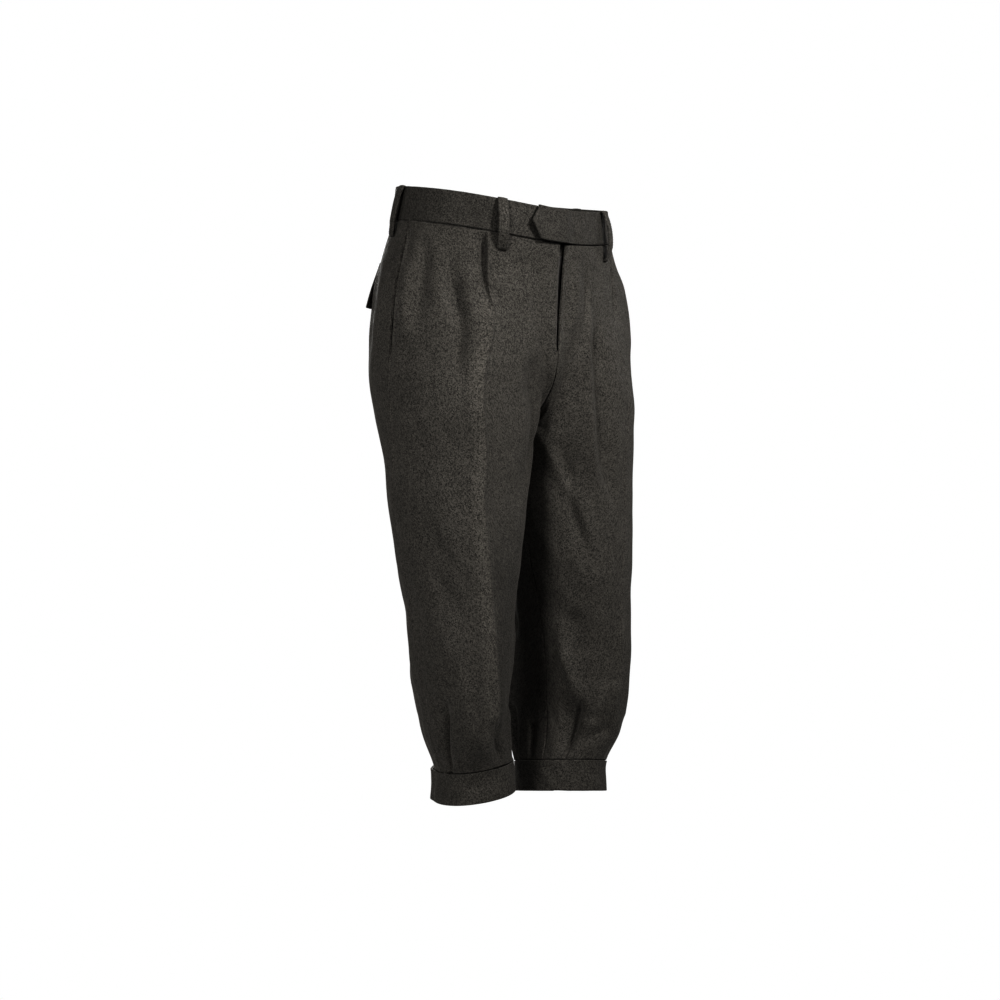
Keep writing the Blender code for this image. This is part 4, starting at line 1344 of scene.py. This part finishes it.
# ---------------------------------------------------------------- sewing
def panel_path(panel, places):
    """Points and directions along a line of (around, level) places on a panel."""
    grid, around, level = panel
    share = np.linspace(0.0, 1.0, PANEL_SEWING_POINTS)
    steps = np.linspace(0.0, 1.0, len(places))
    wanted_round = np.interp(share, steps, [place[0] for place in places])
    wanted_level = np.interp(share, steps, [place[1] for place in places])
    rows = np.interp(-wanted_level, -level[:, 0], np.arange(len(level)))
    numbers = np.arange(around.shape[1])
    columns = [np.interp(value, around[int(row)], numbers) for value, row in zip(wanted_round, rows)]
    return at_place(grid, rows, np.array(columns))


def grid_line(grid, inset, which):
    """Points and directions along one side of a strip, some rows and columns in from its edges."""
    inset_rows, inset_columns = inset
    rows, columns = grid.shape[:2]
    if which in ("first", "last"):
        row = np.linspace(inset_rows, rows - 1 - inset_rows, STRIP_SEWING_POINTS)
        column = np.full_like(row, inset_columns if which == "first" else columns - 1 - inset_columns)
    else:
        column = np.linspace(inset_columns, columns - 1 - inset_columns, STRIP_SEWING_POINTS)
        row = np.full_like(column, rows - 1 - inset_rows)
    return at_place(grid, row, column)


def all_sewing(fronts, loops, flaps, thread):
    """Tonal topstitching on the fly, the pocket mouths, the loops and the flaps."""
    rows = [stitches_on("left", panel_path(fronts["left"], FLY_SEWING))]
    around = 1.0 - POCKET_SEWING / ROUND_OF_CLOTH
    top, foot = (around, POCKET_SEWING_TOP), (around, POCKET_SEWING_FOOT)
    bar_end = (1.0 - POCKET_BAR_END / ROUND_OF_CLOTH, POCKET_SEWING_FOOT)
    for half in ("right", "left"):
        rows.append(stitches_on(half, panel_path(fronts[half], (top, foot))))
        rows.append(stitches_on(half, panel_path(fronts[half], (foot, bar_end)), space=POCKET_BAR_SPACE))
    sewing("front_topstitching", rows, thread)
    rows = []
    for loop in loops:
        rows += [stitches(*grid_line(loop, LOOP_SEWING, side)) for side in ("first", "last")]
        rows += [stitches(*grid_line(loop, LOOP_BAR, "bottom"), space=LOOP_BAR_SPACE)]
    sewing("belt_loop_stitching", rows, thread)
    rows = []
    for half, flap in flaps.items():
        lines = [grid_line(flap, FLAP_SEWING, side) for side in ("first", "last", "bottom")]
        rows += [stitches_on(half, line) for line in lines]
    sewing("flap_stitching", rows, thread)


# ---------------------------------------------------------------- stage, light and camera
def round_about(azimuth, distance, level):
    """A place at an azimuth as the camera's: 0 is in front, and -90 at the wearer's right."""
    turn = math.radians(azimuth)
    return Vector((math.sin(turn) * distance, -math.cos(turn) * distance, level))


def aimed(name, data, place, aim):
    """A light or camera at a place, aimed at a point."""
    thing = bpy.data.objects.new(name, data)
    bpy.context.scene.collection.objects.link(thing)
    thing.location = place * MM
    thing.rotation_euler = (Vector(aim) - place).to_track_quat("-Z", "Y").to_euler()
    return thing


def lights():
    """A soft light off the right leg, one high in front for the hips, and four weak ones."""
    for name, azimuth, distance, level, aim_level, size, spread, power in LIGHTS:
        light = bpy.data.lights.new(name, "AREA")
        light.shape = "DISK"
        light.size = size * MM
        light.energy = power
        light.spread = math.radians(spread)
        aimed(name, light, round_about(azimuth, distance, level), (0.0, 0.0, aim_level))


def camera():
    """Level with the middle of the breeches, off their right front."""
    data = bpy.data.cameras.new("camera")
    data.lens = CAMERA_LENS
    data.sensor_width = CAMERA_SENSOR
    place = round_about(CAMERA_AZIMUTH, CAMERA_DISTANCE, CAMERA_LEVEL)
    bpy.context.scene.camera = aimed("camera", data, place, CAMERA_AIM)


def stage(paper):
    """A plain pale floor well below the breeches, as the wearer would hold them up."""
    bpy.ops.mesh.primitive_circle_add(
        vertices=96, radius=FLOOR_RADIUS * MM, fill_type="NGON", location=(0, 0, FLOOR_LEVEL * MM)
    )
    floor = bpy.context.object
    floor.name = "floor"
    floor.data.materials.append(paper)
    world = bpy.data.worlds.new("studio")
    bpy.context.scene.world = world
    world.use_nodes = True
    tree = world.node_tree
    # White to the eye, and dim as a light, so that hollows stay dark
    dim = tree.nodes["Background"]
    feed(tree, dim, {"Color": WHITE, "Strength": AMBIENT})
    white = add_node(tree, "ShaderNodeBackground", {"Color": WHITE, "Strength": 1.0})
    both = to_the_eye(tree, dim.outputs["Background"], white.outputs["Background"])
    feed(tree, tree.nodes["World Output"], {"Surface": both})


def main():
    """Make every piece, and then the stage, the light and the camera."""
    group = heathered_wool_group()
    wool = wool_material("heathered_wool_cloth", group, WOOL_DARK, WOOL_LIGHT, fleck_share=0.35, nap=0.10)
    # The waistbands' wool, painted darker as shade
    across = wool_material("band_wool_painted_darker", group, WOOL_DARK, BAND_FIBRE_DARKENED_AS_SHADE, fleck_share=0.3, nap=0.08)
    # Wool for the underlap and facings, painted dark as shade
    shade = wool_material("wool_painted_dark_in_openings", group, SHADE_DARK, SHADE_LIGHT, fleck_share=0.1, nap=0.02)
    thread = thread_material()
    tape = zip_material("zip_tape", ZIP_COLOUR, roughness=0.8, scale=3.0)
    teeth = zip_material("zip_teeth", TOOTH_COLOUR, roughness=0.4, scale=1.2)
    waistband_right(across)
    waistband_left(across)
    fronts = {half: front_panel(half, wool) for half in HALVES}
    for half in HALVES:
        back_panel(half, wool)
        pocket_facing(half, shade)
        knee_band(half, wool)
    flaps = {half: back_flap(half, wool) for half in HALVES}
    loops = [belt_loop(*loop, wool) for loop in LOOPS]
    fly_underlap(shade)
    zip_chain(tape, teeth)
    all_sewing(fronts, loops, flaps, thread)
    stage(stage_material())
    lights()
    camera()
    bpy.context.scene.view_settings.view_transform = "Standard"
    bpy.context.scene.view_settings.gamma = CONTRAST_GAMMA


main()
